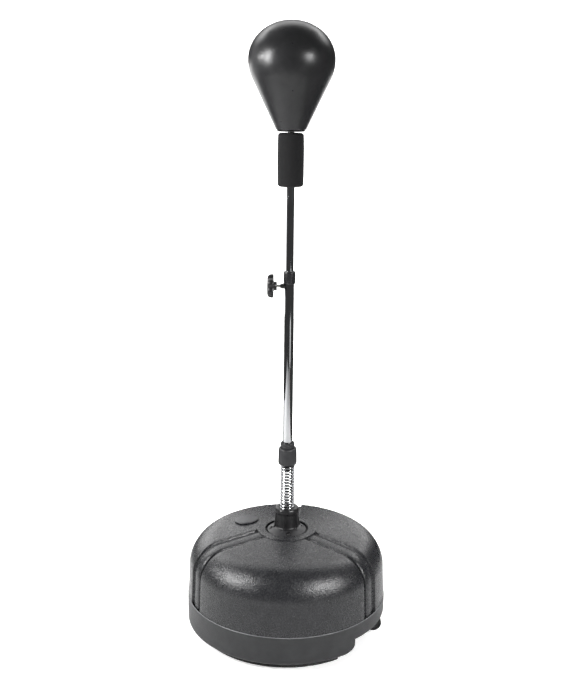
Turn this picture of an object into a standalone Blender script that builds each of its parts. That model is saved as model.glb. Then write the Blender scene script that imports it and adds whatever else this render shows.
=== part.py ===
"""Free-standing reflex ball: a pear-shaped ball on a telescopic pole, a spring and a round filled base.

Units are metres, +Z is up, and the origin is on the floor under the pole's axis.
Each physical piece is one object. The base stays still, the pole sways on its spring about the two
crossed SPRING_PIVOTS_Z, the upper pole slides in the lower one, the clamp knob turns, the filler plug
pulls out and the wheels roll.
"""

import math

import bmesh
import bpy
import numpy as np
from mathutils import Matrix, Vector

# Clearances
GAP = 0.0003                # between two pieces that touch
FIT = 0.0004                # between two pieces that slide or plug together

# Base
BASE_RADIUS = 0.2405        # dome at its seam with the tray
SKIRT_RADIUS = 0.2422
SKIRT_DRAFT = 0.0005
FOOT_RADIUS = 0.216
SEAM_Z = 0.0904
SKIRT_BOTTOM_Z = 0.0188
WEB_TOP_Z = 0.0563
WEB_THICKNESS = 0.003
WALL = 0.003
TANK_BOTTOM_Z = 0.0568
TANK_LOW_RADIUS = SKIRT_RADIUS - WALL - 0.0010      # the tank inside the skirt

# Hub recess and the raised ring around it, on top of the dome
RECESS_RADIUS = 0.0524
RECESS_FLOOR_Z = 0.2400
RING_RADIUS = 0.0718
RING_TOP_Z = 0.2515
RING_STEP = 0.0022          # from the ring down to the dome beside it

# Dome: a shallow cone from the ring, then a round shoulder, then a side with a little draft
CROWN_END = (0.1728, 0.2377)
SIDE_TOP = (0.2371, 0.1692)
SHOULDER_PULL = 0.672       # how square the shoulder is

# Three channels, each with a rounded rib along its middle, run from the ring to the seam
CHANNEL_ANGLES = [math.radians(a) for a in (86, 206, 326)]
CHANNEL_HALF_WIDTH = 0.025
CHANNEL_WALL_SLOPE = 0.0010
CHANNEL_DEPTH = 0.0055
CHANNEL_RIB_HALF_WIDTH = 0.0135
CHANNEL_RIB_DEPTH = 0.0018  # of the rib's top, below the dome

# Filling neck and its plug
FILLER_ANGLE = math.radians(150.4)
FILLER_RADIUS = 0.1155
FILLER_TILT = math.radians(6.56)
NECK_BORE = 0.0212
NECK_OUTER = 0.0245
PLUG_FLANGE_RADIUS = 0.0296

# Cut-out for the wheels, on the +X side
CUTOUT_HALF_ANGLE = math.radians(48)
CUTOUT_ROUNDING = math.radians(8)
FOOT_CHORD_X = 0.126

# Transport wheels
WHEEL_RADIUS = 0.020
WHEEL_X = 0.2125
WHEEL_Y = 0.0575
WHEEL_Z = 0.032
WHEEL_HALF_WIDTH = 0.0110
WHEEL_HUB_HALF_WIDTH = 0.0120
AXLE_RADIUS = 0.003

# Hub
HUB_FLANGE_RADIUS = 0.0475
HUB_FLANGE_BOTTOM = RECESS_FLOOR_Z + 0.0016
HUB_FLANGE_TOP = 0.2492     # at its rim
HUB_CONE = (0.0290, 0.2590)     # where the flange's cone meets the socket
HUB_WELL_Z = 0.2502         # floor of the screws' wells
HUB_TOP_Z = 0.3075
HUB_SCREW_CIRCLE = 0.040
HUB_SCREW_ANGLES = [math.radians(7 + 90 * i) for i in range(4)]
HUB_RIB_ANGLES = [math.radians(15 + 60 * i) for i in range(6)]
HUB_SCREW_RADIUS = 0.0025

# Spring; it bends sideways about one pivot in its lower half and one, crossed, in its upper half
SPRING_PIVOTS_Z = (0.330, 0.390)
WIRE_RADIUS = 0.0030
COIL_RADIUS = 0.0146
COIL_PITCH = 0.0074
SPRING_LOW_Z = 0.2640
SPRING_HIGH_Z = 0.4370
COIL_POINTS = 8             # per turn
SPRING_STEM = COIL_RADIUS * math.cos(math.pi / COIL_POINTS) - WIRE_RADIUS - GAP
SPRING_POCKET = COIL_RADIUS + WIRE_RADIUS + 0.0005

# Lower pole
LOWER_TUBE_RADIUS = 0.0113
LOWER_TUBE_BORE = 0.0099
LOWER_TUBE_BOTTOM = 0.4441
LOWER_TUBE_TOP = 0.8790
COLLAR_RADIUS = 0.0223
COLLAR_Z = (0.4175, 0.4585)
COLLET_RADIUS = 0.0168
COLLET_TOP_Z = 0.4725
CLAMP_COLLAR_Z = (0.8574, 0.886)
CLAMP_COLLAR_RADIUS = 0.0141

# Clamp, on the -X side
CLAMP_Z = 0.851
CLAMP_SCREW_RADIUS = 0.003
KNOB_RADIUS = 0.0275
KNOB_LOBES = 6
KNOB_X = (-0.0362, -0.0512)

# Upper pole
UPPER_TUBE_RADIUS = 0.0095
UPPER_TUBE_BORE = 0.0085
UPPER_TUBE_BOTTOM = 0.675
UPPER_TUBE_TOP = 1.185
FOAM_RADIUS = 0.0299
FOAM_Z = (1.078, 1.196)

# Ball: half an ellipse above its widest level, then an arc, then a cone down to a flat bottom
BALL_RADIUS = 0.0956
BALL_WIDEST_Z = 1.352
BALL_TOP_Z = 1.4355
BALL_BOTTOM_Z = 1.2023
BALL_CONE_ANGLE = math.radians(25.8)
BALL_ARC_RADIUS = 0.0920
BALL_WALL = 0.0025
BALL_STUD_RADIUS = 0.004

TURN_STEPS = 24
OFF_GRID = 0.037            # a small turn that keeps the facets of two joined round pieces apart


# ---------------------------------------------------------------- scene and materials

def clear_scene():
    for obj in list(bpy.data.objects):
        bpy.data.objects.remove(obj, do_unlink=True)


def new_collection(name):
    collection = bpy.data.collections.new(name)
    bpy.context.scene.collection.children.link(collection)
    return collection


def new_material(name, colour, roughness, metallic=0.0):
    material = bpy.data.materials.new(name)
    material.use_nodes = True
    shader = material.node_tree.nodes["Principled BSDF"]
    shader.inputs["Base Color"].default_value = (*colour, 1.0)
    shader.inputs["Roughness"].default_value = roughness
    shader.inputs["Metallic"].default_value = metallic
    return material


clear_scene()
PARTS = new_collection("reflex_ball_stand")
CUTTERS = new_collection("cutters")

BASE_PLASTIC = new_material("base_plastic", (0.075, 0.076, 0.080), 0.50)
BLACK_PLASTIC = new_material("black_plastic", (0.020, 0.020, 0.021), 0.38)
GREY_PLASTIC = new_material("grey_plastic", (0.060, 0.060, 0.062), 0.45)
NYLON = new_material("nylon", (0.70, 0.69, 0.64), 0.45)
RUBBER = new_material("rubber", (0.015, 0.015, 0.015), 0.75)
FOAM = new_material("foam", (0.018, 0.018, 0.018), 0.95)
CHROME = new_material("chrome", (0.78, 0.79, 0.80), 0.08, 1.0)
STEEL = new_material("zinc_steel", (0.55, 0.55, 0.56), 0.30, 1.0)
DARK_STEEL = new_material("dark_steel", (0.06, 0.06, 0.06), 0.45, 1.0)
BALL_SKIN = new_material("ball_skin", (0.030, 0.030, 0.031), 0.33)


# ---------------------------------------------------------------- tools

def add_object(name, mesh, material, collection=None):
    obj = bpy.data.objects.new(name, mesh)
    mesh.materials.clear()
    mesh.materials.append(material)
    (collection or PARTS).objects.link(obj)
    return obj


def smooth(mesh, angle=30):
    mesh.shade_smooth()
    mesh.set_sharp_from_angle(angle=math.radians(angle))


def evaluated_mesh(obj, name):
    """The object's mesh with its modifiers or its curve's bevel, welded."""
    bpy.context.view_layer.update()
    seen = obj.evaluated_get(bpy.context.evaluated_depsgraph_get())
    mesh = bpy.data.meshes.new_from_object(seen)
    mesh.name = name
    bm = bmesh.new()
    bm.from_mesh(mesh)
    bmesh.ops.remove_doubles(bm, verts=bm.verts, dist=1e-6)
    bm.to_mesh(mesh)
    bm.free()
    return mesh


def mesh_from(bm, name):
    mesh = bpy.data.meshes.new(name)
    bm.to_mesh(mesh)
    bm.free()
    return mesh


def turned(name, profile, material, steps=TURN_STEPS, collection=None):
    """A turned solid. The profile, of (radius, z), runs down its outer side; it is closed unless both its
    ends are on the axis."""
    points = [(r, 0.0, z) for r, z in profile]
    edges = [(i, i + 1) for i in range(len(points) - 1)]
    if profile[0][0] > 0:
        edges.append((len(points) - 1, 0))
    outline = bpy.data.meshes.new(name + "_outline")
    outline.from_pydata(points, edges, [])
    obj = bpy.data.objects.new(name, outline)
    PARTS.objects.link(obj)
    screw = obj.modifiers.new("turn", "SCREW")
    screw.angle = 2 * math.pi
    screw.steps = steps
    screw.render_steps = steps
    screw.use_merge_vertices = True
    screw.merge_threshold = 1e-5
    mesh = evaluated_mesh(obj, name)
    bpy.data.objects.remove(obj, do_unlink=True)
    smooth(mesh)
    return add_object(name, mesh, material, collection)


def tube(name, outer, inner, low, high, material, steps=TURN_STEPS, collection=None):
    profile = [(inner, high), (outer, high), (outer, low), (inner, low)]
    return turned(name, profile, material, steps, collection)


def box(name, low, high, material=BASE_PLASTIC, collection=None):
    size = [b - a for a, b in zip(low, high)]
    centre = [(a + b) / 2 for a, b in zip(low, high)]
    bm = bmesh.new()
    bmesh.ops.create_cube(bm, size=1.0, matrix=Matrix.Translation(centre) @ Matrix.Diagonal((*size, 1.0)))
    return add_object(name, mesh_from(bm, name), material, collection)


def rod_mesh(name, rods, segments=16):
    """Separate cylinders in one mesh, each from a start point to an end point."""
    bm = bmesh.new()
    for start, end, radius in rods:
        start = Vector(start)
        span = Vector(end) - start
        place = Matrix.Translation(start + span / 2) @ span.to_track_quat("Z", "Y").to_matrix().to_4x4()
        bmesh.ops.create_cone(bm, cap_ends=True, segments=segments, radius1=radius, radius2=radius,
                              depth=span.length, matrix=place)
    mesh = mesh_from(bm, name)
    smooth(mesh)
    return mesh


def rod(name, start, end, radius, material, segments=24, collection=None):
    return add_object(name, rod_mesh(name, [(start, end, radius)], segments), material, collection)


def prism(name, outline, thickness, material=BASE_PLASTIC, collection=None):
    """A flat outline of (x, y) points, extruded half its thickness to each side of z = 0."""
    curve = bpy.data.curves.new(name + "_outline", "CURVE")
    curve.dimensions = "2D"
    curve.fill_mode = "BOTH"
    curve.extrude = thickness / 2
    spline = curve.splines.new("POLY")
    spline.points.add(len(outline) - 1)
    for point, (x, y) in zip(spline.points, outline):
        point.co = (x, y, 0.0, 1.0)
    spline.use_cyclic_u = True
    obj = bpy.data.objects.new(name, curve)
    PARTS.objects.link(obj)
    mesh = evaluated_mesh(obj, name)
    bpy.data.objects.remove(obj, do_unlink=True)
    return add_object(name, mesh, material, collection)


def grid_solid(name, rings, material, collection=None):
    """A loft between unlike rings of equal length; a ring of one point is a pole. The last ring joins the
    first where neither is a pole. Rings run from the top down the outside, each anticlockwise."""
    bm = bmesh.new()
    rows = [[bm.verts.new(p) for p in ring] for ring in rings]
    pairs = list(zip(rows, rows[1:]))
    if len(rows[0]) > 1:
        pairs.append((rows[-1], rows[0]))
    for upper, lower in pairs:
        count = max(len(upper), len(lower))
        for i in range(count):
            j = (i + 1) % count
            if len(upper) == 1:
                bm.faces.new((upper[0], lower[i], lower[j]))
            elif len(lower) == 1:
                bm.faces.new((upper[j], upper[i], lower[0]))
            else:
                bm.faces.new((upper[j], upper[i], lower[i], lower[j]))
    mesh = mesh_from(bm, name)
    smooth(mesh)
    return add_object(name, mesh, material, collection)


def boolean(target, other, operation):
    """Cut or join target with other, which becomes a hidden guide."""
    for collection in list(other.users_collection):
        collection.objects.unlink(other)
    CUTTERS.objects.link(other)
    other.hide_render = True
    other.display_type = "WIRE"
    modifier = target.modifiers.new(operation.lower(), "BOOLEAN")
    modifier.operation = operation
    modifier.object = other
    modifier.solver = "EXACT"


def cut(target, *cutters):
    for cutter in cutters:
        boolean(target, cutter, "DIFFERENCE")


def join(target, *others):
    for other in others:
        boolean(target, other, "UNION")


def place(obj, location, rotation=(0.0, 0.0, 0.0)):
    obj.location = location
    obj.rotation_euler = rotation
    return obj


def joint_empty(name, location, parent=None):
    empty = bpy.data.objects.new(name, None)
    PARTS.objects.link(empty)
    base = parent["place"] if parent else (0.0, 0.0, 0.0)
    empty["place"] = location
    empty.location = [a - b for a, b in zip(location, base)]
    empty.parent = parent
    return empty


def hang(empty, *objects):
    """Parent pieces, placed in world coordinates, to a joint's empty."""
    for obj in objects:
        obj.parent = empty
        obj.matrix_parent_inverse = Matrix.Translation(Vector(empty["place"])).inverted()


def arc(centre, radius, start, end, count):
    """Points on an arc in the (radius, z) plane, from angle start to end, in degrees from +r."""
    angles = np.radians(np.linspace(start, end, count))
    return [(centre[0] + radius * math.cos(a), centre[1] + radius * math.sin(a)) for a in angles]


def bezier(p0, p1, p2, p3, count):
    points = []
    for t in np.linspace(0.0, 1.0, count):
        weights = ((1 - t) ** 3, 3 * t * (1 - t) ** 2, 3 * t * t * (1 - t), t ** 3)
        points.append(tuple(sum(w * p[k] for w, p in zip(weights, (p0, p1, p2, p3))) for k in (0, 1)))
    return points


def polar(radius, angle, z):
    return (radius * math.cos(angle), radius * math.sin(angle), z)


# ---------------------------------------------------------------- base: tank

def shoulder(inset, count):
    """The dome's round shoulder, moved inwards by inset, top to bottom."""
    crown, side = CROWN_END, SIDE_TOP
    reach = side[0] - crown[0]
    slope = (CROWN_END[1] - RING_TOP_Z + RING_STEP) / (CROWN_END[0] - RING_RADIUS)
    corner_z = crown[1] + slope * reach
    p1 = (crown[0] + SHOULDER_PULL * reach, crown[1] + slope * SHOULDER_PULL * reach)
    p2 = (side[0], side[1] + (1 - SHOULDER_PULL) * (corner_z - side[1]))
    points = np.array(bezier(crown, p1, p2, side, count))
    along = np.gradient(points, axis=0)
    along /= np.linalg.norm(along, axis=1)[:, None]
    inward = np.stack([along[:, 1], -along[:, 0]], axis=1)
    return [tuple(p) for p in points + inset * inward]


def crown_height(radius):
    """Height of the dome's cone at a radius between the ring and the shoulder."""
    start = (RING_RADIUS, RING_TOP_Z - RING_STEP)
    share = (radius - start[0]) / (CROWN_END[0] - start[0])
    return start[1] + share * (CROWN_END[1] - start[1])


def side_radius(z):
    """Radius of the dome's side between the shoulder and the seam."""
    share = (SIDE_TOP[1] - z) / (SIDE_TOP[1] - SEAM_Z)
    return SIDE_TOP[0] + share * (BASE_RADIUS - SIDE_TOP[0])


def tank_outside():
    """Rows of (radius, z, share of the channel's depth), down the outside of the tank."""
    ring_foot_z = RING_TOP_Z - RING_STEP
    rows = [
        (0.0, RECESS_FLOOR_Z, 0),
        (RECESS_RADIUS - 0.0008, RECESS_FLOOR_Z, 0),
        (RECESS_RADIUS, RECESS_FLOOR_Z + 0.0008, 0),
        (RECESS_RADIUS, RING_TOP_Z - 0.0012, 0),
        (RECESS_RADIUS + 0.0012, RING_TOP_Z, 0),
        (RING_RADIUS - 0.0020, RING_TOP_Z, 0),
        (RING_RADIUS - 0.0003, RING_TOP_Z - 0.0012, 0),
        (RING_RADIUS + 0.0004, ring_foot_z, 0),
        (RING_RADIUS + 0.0022, crown_height(RING_RADIUS + 0.0022), 1),
        (0.105, crown_height(0.105), 1),
        (0.140, crown_height(0.140), 1),
    ]
    rows += [(r, z, 1) for r, z in shoulder(0.0, 7)]
    rows += [
        (side_radius(0.130), 0.130, 1),
        (side_radius(SEAM_Z + 0.0014), SEAM_Z + 0.0014, 1),
        (BASE_RADIUS - 0.0010, SEAM_Z + 0.0004, 1),
        (TANK_LOW_RADIUS, SEAM_Z + 0.0004, 1),
        (TANK_LOW_RADIUS - 0.0006, TANK_BOTTOM_Z + 0.0100, 1),
        (TANK_LOW_RADIUS - 0.0024, TANK_BOTTOM_Z + 0.0025, 1),
        (TANK_LOW_RADIUS - 0.0074, TANK_BOTTOM_Z, 1),
        (0.0, TANK_BOTTOM_Z, 0),
    ]
    return rows


def tank_inside():
    """Rows of the hollow, one wall's thickness inside the tank."""
    floor_z = RECESS_FLOOR_Z - WALL
    rows = [
        (0.0, floor_z, 0),
        (RECESS_RADIUS + WALL, floor_z, 0),
        (RECESS_RADIUS + WALL + 0.0005, RING_TOP_Z - WALL, 0),
        (RING_RADIUS - WALL, RING_TOP_Z - WALL, 0),
        (RING_RADIUS - WALL + 0.0012, RING_TOP_Z - RING_STEP - WALL - 0.0004, 1),
        (0.120, crown_height(0.120) - WALL, 1),
    ]
    rows += [(r, z, 1) for r, z in shoulder(WALL, 4)]
    rows += [
        (TANK_LOW_RADIUS - WALL, SEAM_Z + 0.0020, 1),
        (TANK_LOW_RADIUS - WALL - 0.0006, TANK_BOTTOM_Z + 0.0090, 1),
        (TANK_LOW_RADIUS - WALL - 0.0052, TANK_BOTTOM_Z + WALL, 1),
        (0.0, TANK_BOTTOM_Z + WALL, 0),
    ]
    return rows


def channelled_rings(rows, extra_width, fill):
    """Rings of the dome. Columns follow the channels' edges, and the rest are spread evenly between them."""
    edge = CHANNEL_HALF_WIDTH + extra_width
    foot = edge - CHANNEL_WALL_SLOPE
    rib_foot = CHANNEL_RIB_HALF_WIDTH - extra_width
    half = [(-edge, 0.0), (-foot, CHANNEL_DEPTH), (-rib_foot, CHANNEL_DEPTH),
            (-0.76 * rib_foot, CHANNEL_RIB_DEPTH + 0.0010)]
    across = half + [(0.0, CHANNEL_RIB_DEPTH)] + [(-x, depth) for x, depth in reversed(half)]
    rings = []
    for index, (radius, z, share) in enumerate(rows):
        if radius == 0.0:
            rings.append([(0.0, 0.0, z)])
            continue
        before, after = rows[max(index - 1, 0)], rows[min(index + 1, len(rows) - 1)]
        along = Vector((after[0] - before[0], after[1] - before[1])).normalized()
        inward = Vector((along.y, -along.x))
        if z < SIDE_TOP[1]:
            inward = Vector((-1.0, 0.0))
        spread = max(radius, RING_RADIUS)
        half_angle = math.asin(edge / spread)
        ring = []
        for number, centre in enumerate(CHANNEL_ANGLES):
            for offset, depth in across:
                sunk = share * depth
                ring.append(polar(radius + inward.x * sunk, centre + math.asin(offset / spread),
                                  z + inward.y * sunk))
            following = CHANNEL_ANGLES[(number + 1) % 3] + (2 * math.pi if number == 2 else 0.0)
            start, end = centre + half_angle, following - half_angle
            ring += [polar(radius, start + (end - start) * k / (fill + 1), z) for k in range(1, fill + 1)]
        rings.append(ring)
    return rings


def filler_axis():
    """Where the neck's axis meets the dome, and the axis' rotation."""
    foot = Vector(polar(FILLER_RADIUS, FILLER_ANGLE, crown_height(FILLER_RADIUS)))
    turn = Matrix.Rotation(FILLER_ANGLE, 4, "Z") @ Matrix.Rotation(FILLER_TILT, 4, "Y")
    return foot, turn.to_euler()


def make_tank():
    tank = grid_solid("tank_shell", channelled_rings(tank_outside(), 0.0, 9), BASE_PLASTIC)
    hollow = grid_solid("tank_hollow", channelled_rings(tank_inside(), WALL, 4), BASE_PLASTIC)
    foot, turn = filler_axis()
    neck = rod("filler_neck", (0, 0, -0.010), (0, 0, 0.020), NECK_OUTER, BASE_PLASTIC, 24)
    mouth = rod("filler_mouth", (0, 0, -0.030), (0, 0, 0.020), NECK_BORE, BASE_PLASTIC, 24)
    cut(hollow, place(neck, foot, turn))
    cut(tank, hollow, place(mouth, foot, turn))
    holes = [(polar(HUB_SCREW_CIRCLE, a, 0.200), polar(HUB_SCREW_CIRCLE, a, 0.245),
              HUB_SCREW_RADIUS + GAP) for a in HUB_SCREW_ANGLES]
    cut(tank, add_object("tank_screw_holes", rod_mesh("tank_screw_holes", holes), BASE_PLASTIC))


def make_filler_plug():
    top, flange, rim = 0.0062, 0.0011, PLUG_FLANGE_RADIUS
    body = NECK_BORE - FIT
    profile = [
        (0.0, top), (0.016, top - 0.0004), (rim - 0.0026, top - 0.0015), (rim, top - 0.0029),
        (rim, flange), (body - 0.0012, flange),
        (body - 0.0012, -0.0040), (body, -0.0050), (body, -0.0066), (body - 0.0012, -0.0076),
        (body - 0.0018, -0.0140),
        (body - 0.0045, -0.0140), (body - 0.0045, -0.0015), (0.0, -0.0015),
    ]
    foot, turn = filler_axis()
    place(turned("filler_plug", profile, BASE_PLASTIC, 28), foot, turn)


# ---------------------------------------------------------------- base: tray, foot and wheels

def skirt_radius(z):
    """Outside of the skirt: a little draft, then round at the bottom."""
    drafted = SKIRT_RADIUS - SKIRT_DRAFT * (SEAM_Z - z) / (SEAM_Z - SKIRT_BOTTOM_Z)
    rounding = 0.0095
    below = SKIRT_BOTTOM_Z + rounding - z
    if below <= 0:
        return drafted
    return drafted - rounding + math.sqrt(max(rounding ** 2 - below ** 2, 0.0))


def skirt_bottom(angle):
    """Height of the skirt's lower edge: it steps up over the wheels, with rounded corners."""
    off = abs((angle + math.pi) % (2 * math.pi) - math.pi)
    raised = WEB_TOP_Z - WEB_THICKNESS + 0.0002
    if off < CUTOUT_HALF_ANGLE:
        return raised
    share = min((off - CUTOUT_HALF_ANGLE) / CUTOUT_ROUNDING, 1.0)
    corner = 0.013
    return SKIRT_BOTTOM_Z + corner * (1 - math.sqrt(1 - (1 - share) ** 2))


def make_skirt():
    edge = CUTOUT_HALF_ANGLE
    step = math.radians(0.4)
    corner = [edge + CUTOUT_ROUNDING * s for s in (0.04, 0.2, 0.5, 1.0)]
    half = list(np.linspace(0.0, edge - step, 7)) + corner
    half += list(np.linspace(corner[-1], math.pi, 19))[1:-1]
    angles = half + [math.pi] + [2 * math.pi - a for a in reversed(half[1:])]
    steps = (0.0, 0.45, 0.86, 0.95, 1.0)
    sections = []
    for angle in angles:
        low = skirt_bottom(angle)
        heights = [SEAM_Z - (SEAM_Z - low) * s for s in steps]
        outer = [(skirt_radius(z), z) for z in heights]
        inner = [(min(skirt_radius(z), skirt_radius(z + WALL)) - WALL, z) for z in reversed(heights)]
        sections.append([polar(r, angle, z) for r, z in outer + inner])
    rings = [[section[k] for section in sections] for k in range(len(sections[0]))]
    return grid_solid("skirt", rings, BASE_PLASTIC)


def make_tray():
    tray = make_skirt()
    tray.name = "base_tray"
    web_low = WEB_TOP_Z - WEB_THICKNESS
    merged = web_low + 0.0010
    foot_outer, foot_inner = FOOT_RADIUS - 0.0015, FOOT_RADIUS - 0.0045
    web = turned("web", [(0.0, WEB_TOP_Z), (SKIRT_RADIUS - 0.0030, WEB_TOP_Z),
                         (SKIRT_RADIUS - 0.0030, web_low + 0.0006), (0.2150, web_low), (0.0, web_low)],
                 BASE_PLASTIC, 48)
    place(web, (0, 0, 0), (0, 0, OFF_GRID))
    foot = tube("foot_wall", foot_outer, foot_inner, 0.0035, merged, BASE_PLASTIC, 48)
    cut(foot, box("beyond_chord", (FOOT_CHORD_X, -0.25, -0.01), (0.26, 0.25, 0.08)))
    half_chord = math.sqrt((foot_outer - WALL / 2) ** 2 - FOOT_CHORD_X ** 2)
    join(web, foot, box("chord_wall", (FOOT_CHORD_X - WALL, -half_chord, 0.0080),
                        (FOOT_CHORD_X + 0.0008, half_chord, merged)))
    lug = [(-0.010, merged)]
    lug += [(r, z + WHEEL_Z) for r, z in arc((0.0, 0.0), 0.010, 180, 360, 9)]
    lug += [(0.010, merged)]
    near = WHEEL_Y - WHEEL_HUB_HALF_WIDTH - GAP - WALL / 2
    far = WHEEL_Y + WHEEL_HUB_HALF_WIDTH + GAP + WALL / 2
    for number, y in enumerate((-far, -near, near, far)):
        ear = prism(f"lug_{number}", lug, WALL)
        join(web, place(ear, (WHEEL_X, y, 0.0), (math.pi / 2, 0, 0)))
    boolean(tray, web, "UNION")
    cut(tray, rod("axle_hole", (WHEEL_X, -0.09, WHEEL_Z), (WHEEL_X, 0.09, WHEEL_Z), AXLE_RADIUS + GAP,
                  BASE_PLASTIC, 16))


def make_foot_ring():
    """A rubber channel pushed on the foot wall, left out beyond the chord."""
    outer, inner, top = FOOT_RADIUS, FOOT_RADIUS - 0.0075, 0.0140
    slot_outer, slot_inner, slot_low = FOOT_RADIUS - 0.0012, FOOT_RADIUS - 0.0048, 0.0032
    profile = [(slot_outer, top), (outer - 0.0004, top), (outer, top - 0.0010), (outer, 0.0015),
               (outer - 0.0012, 0.0), (inner, 0.0), (inner, 0.0070), (slot_inner, 0.0070),
               (slot_inner, slot_low), (slot_outer, slot_low)]
    ring = turned("foot_ring", profile, RUBBER, 48)
    cut(ring, box("foot_ring_end", (FOOT_CHORD_X - WALL - GAP, -0.25, -0.02), (0.26, 0.25, 0.05)))


def make_wheels():
    tread = WHEEL_HALF_WIDTH
    hub = WHEEL_HUB_HALF_WIDTH
    bore = AXLE_RADIUS + FIT
    side = [(bore, hub), (0.0070, hub), (0.0075, tread - 0.0025), (0.0150, tread - 0.0025),
            (WHEEL_RADIUS - 0.0020, tread), (WHEEL_RADIUS, tread - 0.0030)]
    profile = side + [(r, -z) for r, z in reversed(side)]
    end = WHEEL_Y + hub + GAP + WALL
    for name, side in (("left", -1), ("right", 1)):
        centre = (WHEEL_X, side * WHEEL_Y, WHEEL_Z)
        axle_end = joint_empty(f"wheel_{name}_axis", centre)
        wheel = turned(f"wheel_{name}", profile, RUBBER, 24)
        hang(axle_end, place(wheel, centre, (math.pi / 2, 0, 0)))
        cap = turned(f"axle_cap_{name}", [(0.0, 0.0036), (0.0042, 0.0036), (0.0060, 0.0022), (0.0060, 0.0),
                                          (AXLE_RADIUS + GAP, 0.0), (AXLE_RADIUS + GAP, 0.0022), (0.0, 0.0022)],
                     BLACK_PLASTIC, 16)
        place(cap, (WHEEL_X, side * (end + GAP), WHEEL_Z), (-side * math.pi / 2, 0, 0))
    reach = end + 0.0022
    rod("wheel_axle", (WHEEL_X, -reach, WHEEL_Z), (WHEEL_X, reach, WHEEL_Z), AXLE_RADIUS, STEEL, 16)


# ---------------------------------------------------------------- hub

def make_hub():
    low, rim = HUB_FLANGE_BOTTOM, HUB_FLANGE_TOP
    cone_radius, cone_z = HUB_CONE
    profile = [
        (SPRING_POCKET, HUB_TOP_Z - 0.0010), (SPRING_POCKET + 0.0010, HUB_TOP_Z), (0.0256, HUB_TOP_Z),
        (0.0286, HUB_TOP_Z - 0.0048), (0.0292, HUB_TOP_Z - 0.0125), (0.0270, HUB_TOP_Z - 0.0145),
        (cone_radius - 0.0006, cone_z + 0.0030), (cone_radius, cone_z), (HUB_FLANGE_RADIUS - 0.0010, rim),
        (HUB_FLANGE_RADIUS, rim - 0.0008), (HUB_FLANGE_RADIUS, low), (0.0205, low),
        (0.0205, low + 0.0036), (SPRING_STEM + FIT, low + 0.0036), (SPRING_STEM + FIT, 0.2600),
        (SPRING_POCKET, 0.2600),
    ]
    socket = turned("hub_socket", profile, BLACK_PLASTIC, 28)
    rib = [(0.0240, cone_z - 0.0050), (0.0344, cone_z - 0.0050), (0.0344, cone_z - 0.0018),
           (0.0320, cone_z + 0.0012), (0.0308, cone_z + 0.0070), (0.0294, HUB_TOP_Z - 0.0105),
           (0.0240, HUB_TOP_Z - 0.0105)]
    for number, angle in enumerate(HUB_RIB_ANGLES):
        join(socket, place(prism(f"hub_rib_{number}", rib, 0.0042), (0, 0, 0), (math.pi / 2, 0, angle)))
    holes, wells = [], []
    for angle in HUB_SCREW_ANGLES:
        holes.append((polar(HUB_SCREW_CIRCLE, angle, 0.22), polar(HUB_SCREW_CIRCLE, angle, 0.27),
                      HUB_SCREW_RADIUS + GAP))
        wells.append((polar(HUB_SCREW_CIRCLE, angle, HUB_WELL_Z), polar(HUB_SCREW_CIRCLE, angle, 0.27),
                      0.0056))
    cut(socket, add_object("hub_screw_holes", rod_mesh("hub_screw_holes", holes), BLACK_PLASTIC),
        add_object("hub_screw_wells", rod_mesh("hub_screw_wells", wells, 24), BLACK_PLASTIC))

    seal = tube("hub_seal", HUB_FLANGE_RADIUS, 0.0205, RECESS_FLOOR_Z + GAP, low - GAP, RUBBER)
    cut(seal, add_object("seal_holes", rod_mesh("seal_holes", holes), RUBBER))
    plate = turned("hub_backing_plate", [(0.0, 0.2367), (0.046, 0.2367), (0.046, 0.2327), (0.0, 0.2327)],
                   STEEL)
    cut(plate, add_object("plate_holes", rod_mesh("plate_holes", holes), STEEL))


def make_hub_screws():
    seat = HUB_WELL_Z + GAP
    shank = HUB_SCREW_RADIUS
    profile = [(0.0, seat + 0.0012), (0.0013, seat + 0.0016), (0.0016, seat + 0.0028),
               (0.0032, seat + 0.0026), (0.0045, seat + 0.0012), (0.0045, seat), (shank, seat),
               (shank, 0.2310), (0.0, 0.2310)]
    for number, angle in enumerate(HUB_SCREW_ANGLES, start=1):
        place(turned(f"hub_screw_{number}", profile, STEEL, 12), polar(HUB_SCREW_CIRCLE, angle, 0.0))


# ---------------------------------------------------------------- spring and its plugs

def make_spring():
    turns = (SPRING_HIGH_Z - SPRING_LOW_Z) / COIL_PITCH
    count = int(turns * COIL_POINTS) + 1
    curve = bpy.data.curves.new("spring", "CURVE")
    curve.dimensions = "3D"
    curve.bevel_depth = WIRE_RADIUS
    curve.bevel_resolution = 2
    curve.use_fill_caps = True
    spline = curve.splines.new("POLY")
    spline.points.add(count - 1)
    for i, point in enumerate(spline.points):
        turn = i / COIL_POINTS
        point.co = (*polar(COIL_RADIUS, 2 * math.pi * turn, SPRING_LOW_Z + COIL_PITCH * turn), 1.0)
    coil = bpy.data.objects.new("spring_path", curve)
    PARTS.objects.link(coil)
    mesh = evaluated_mesh(coil, "spring")
    bpy.data.objects.remove(coil, do_unlink=True)
    smooth(mesh, 60)
    return add_object("spring", mesh, CHROME)


def make_lower_plug():
    low = HUB_FLANGE_BOTTOM + GAP
    profile = [(0.0, 0.2900), (SPRING_STEM - 0.0012, 0.2900), (SPRING_STEM, 0.2886),
               (SPRING_STEM, low + 0.0030), (0.0200, low + 0.0030), (0.0200, low), (0.0, low)]
    turned("spring_lower_plug", profile, STEEL)


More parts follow.
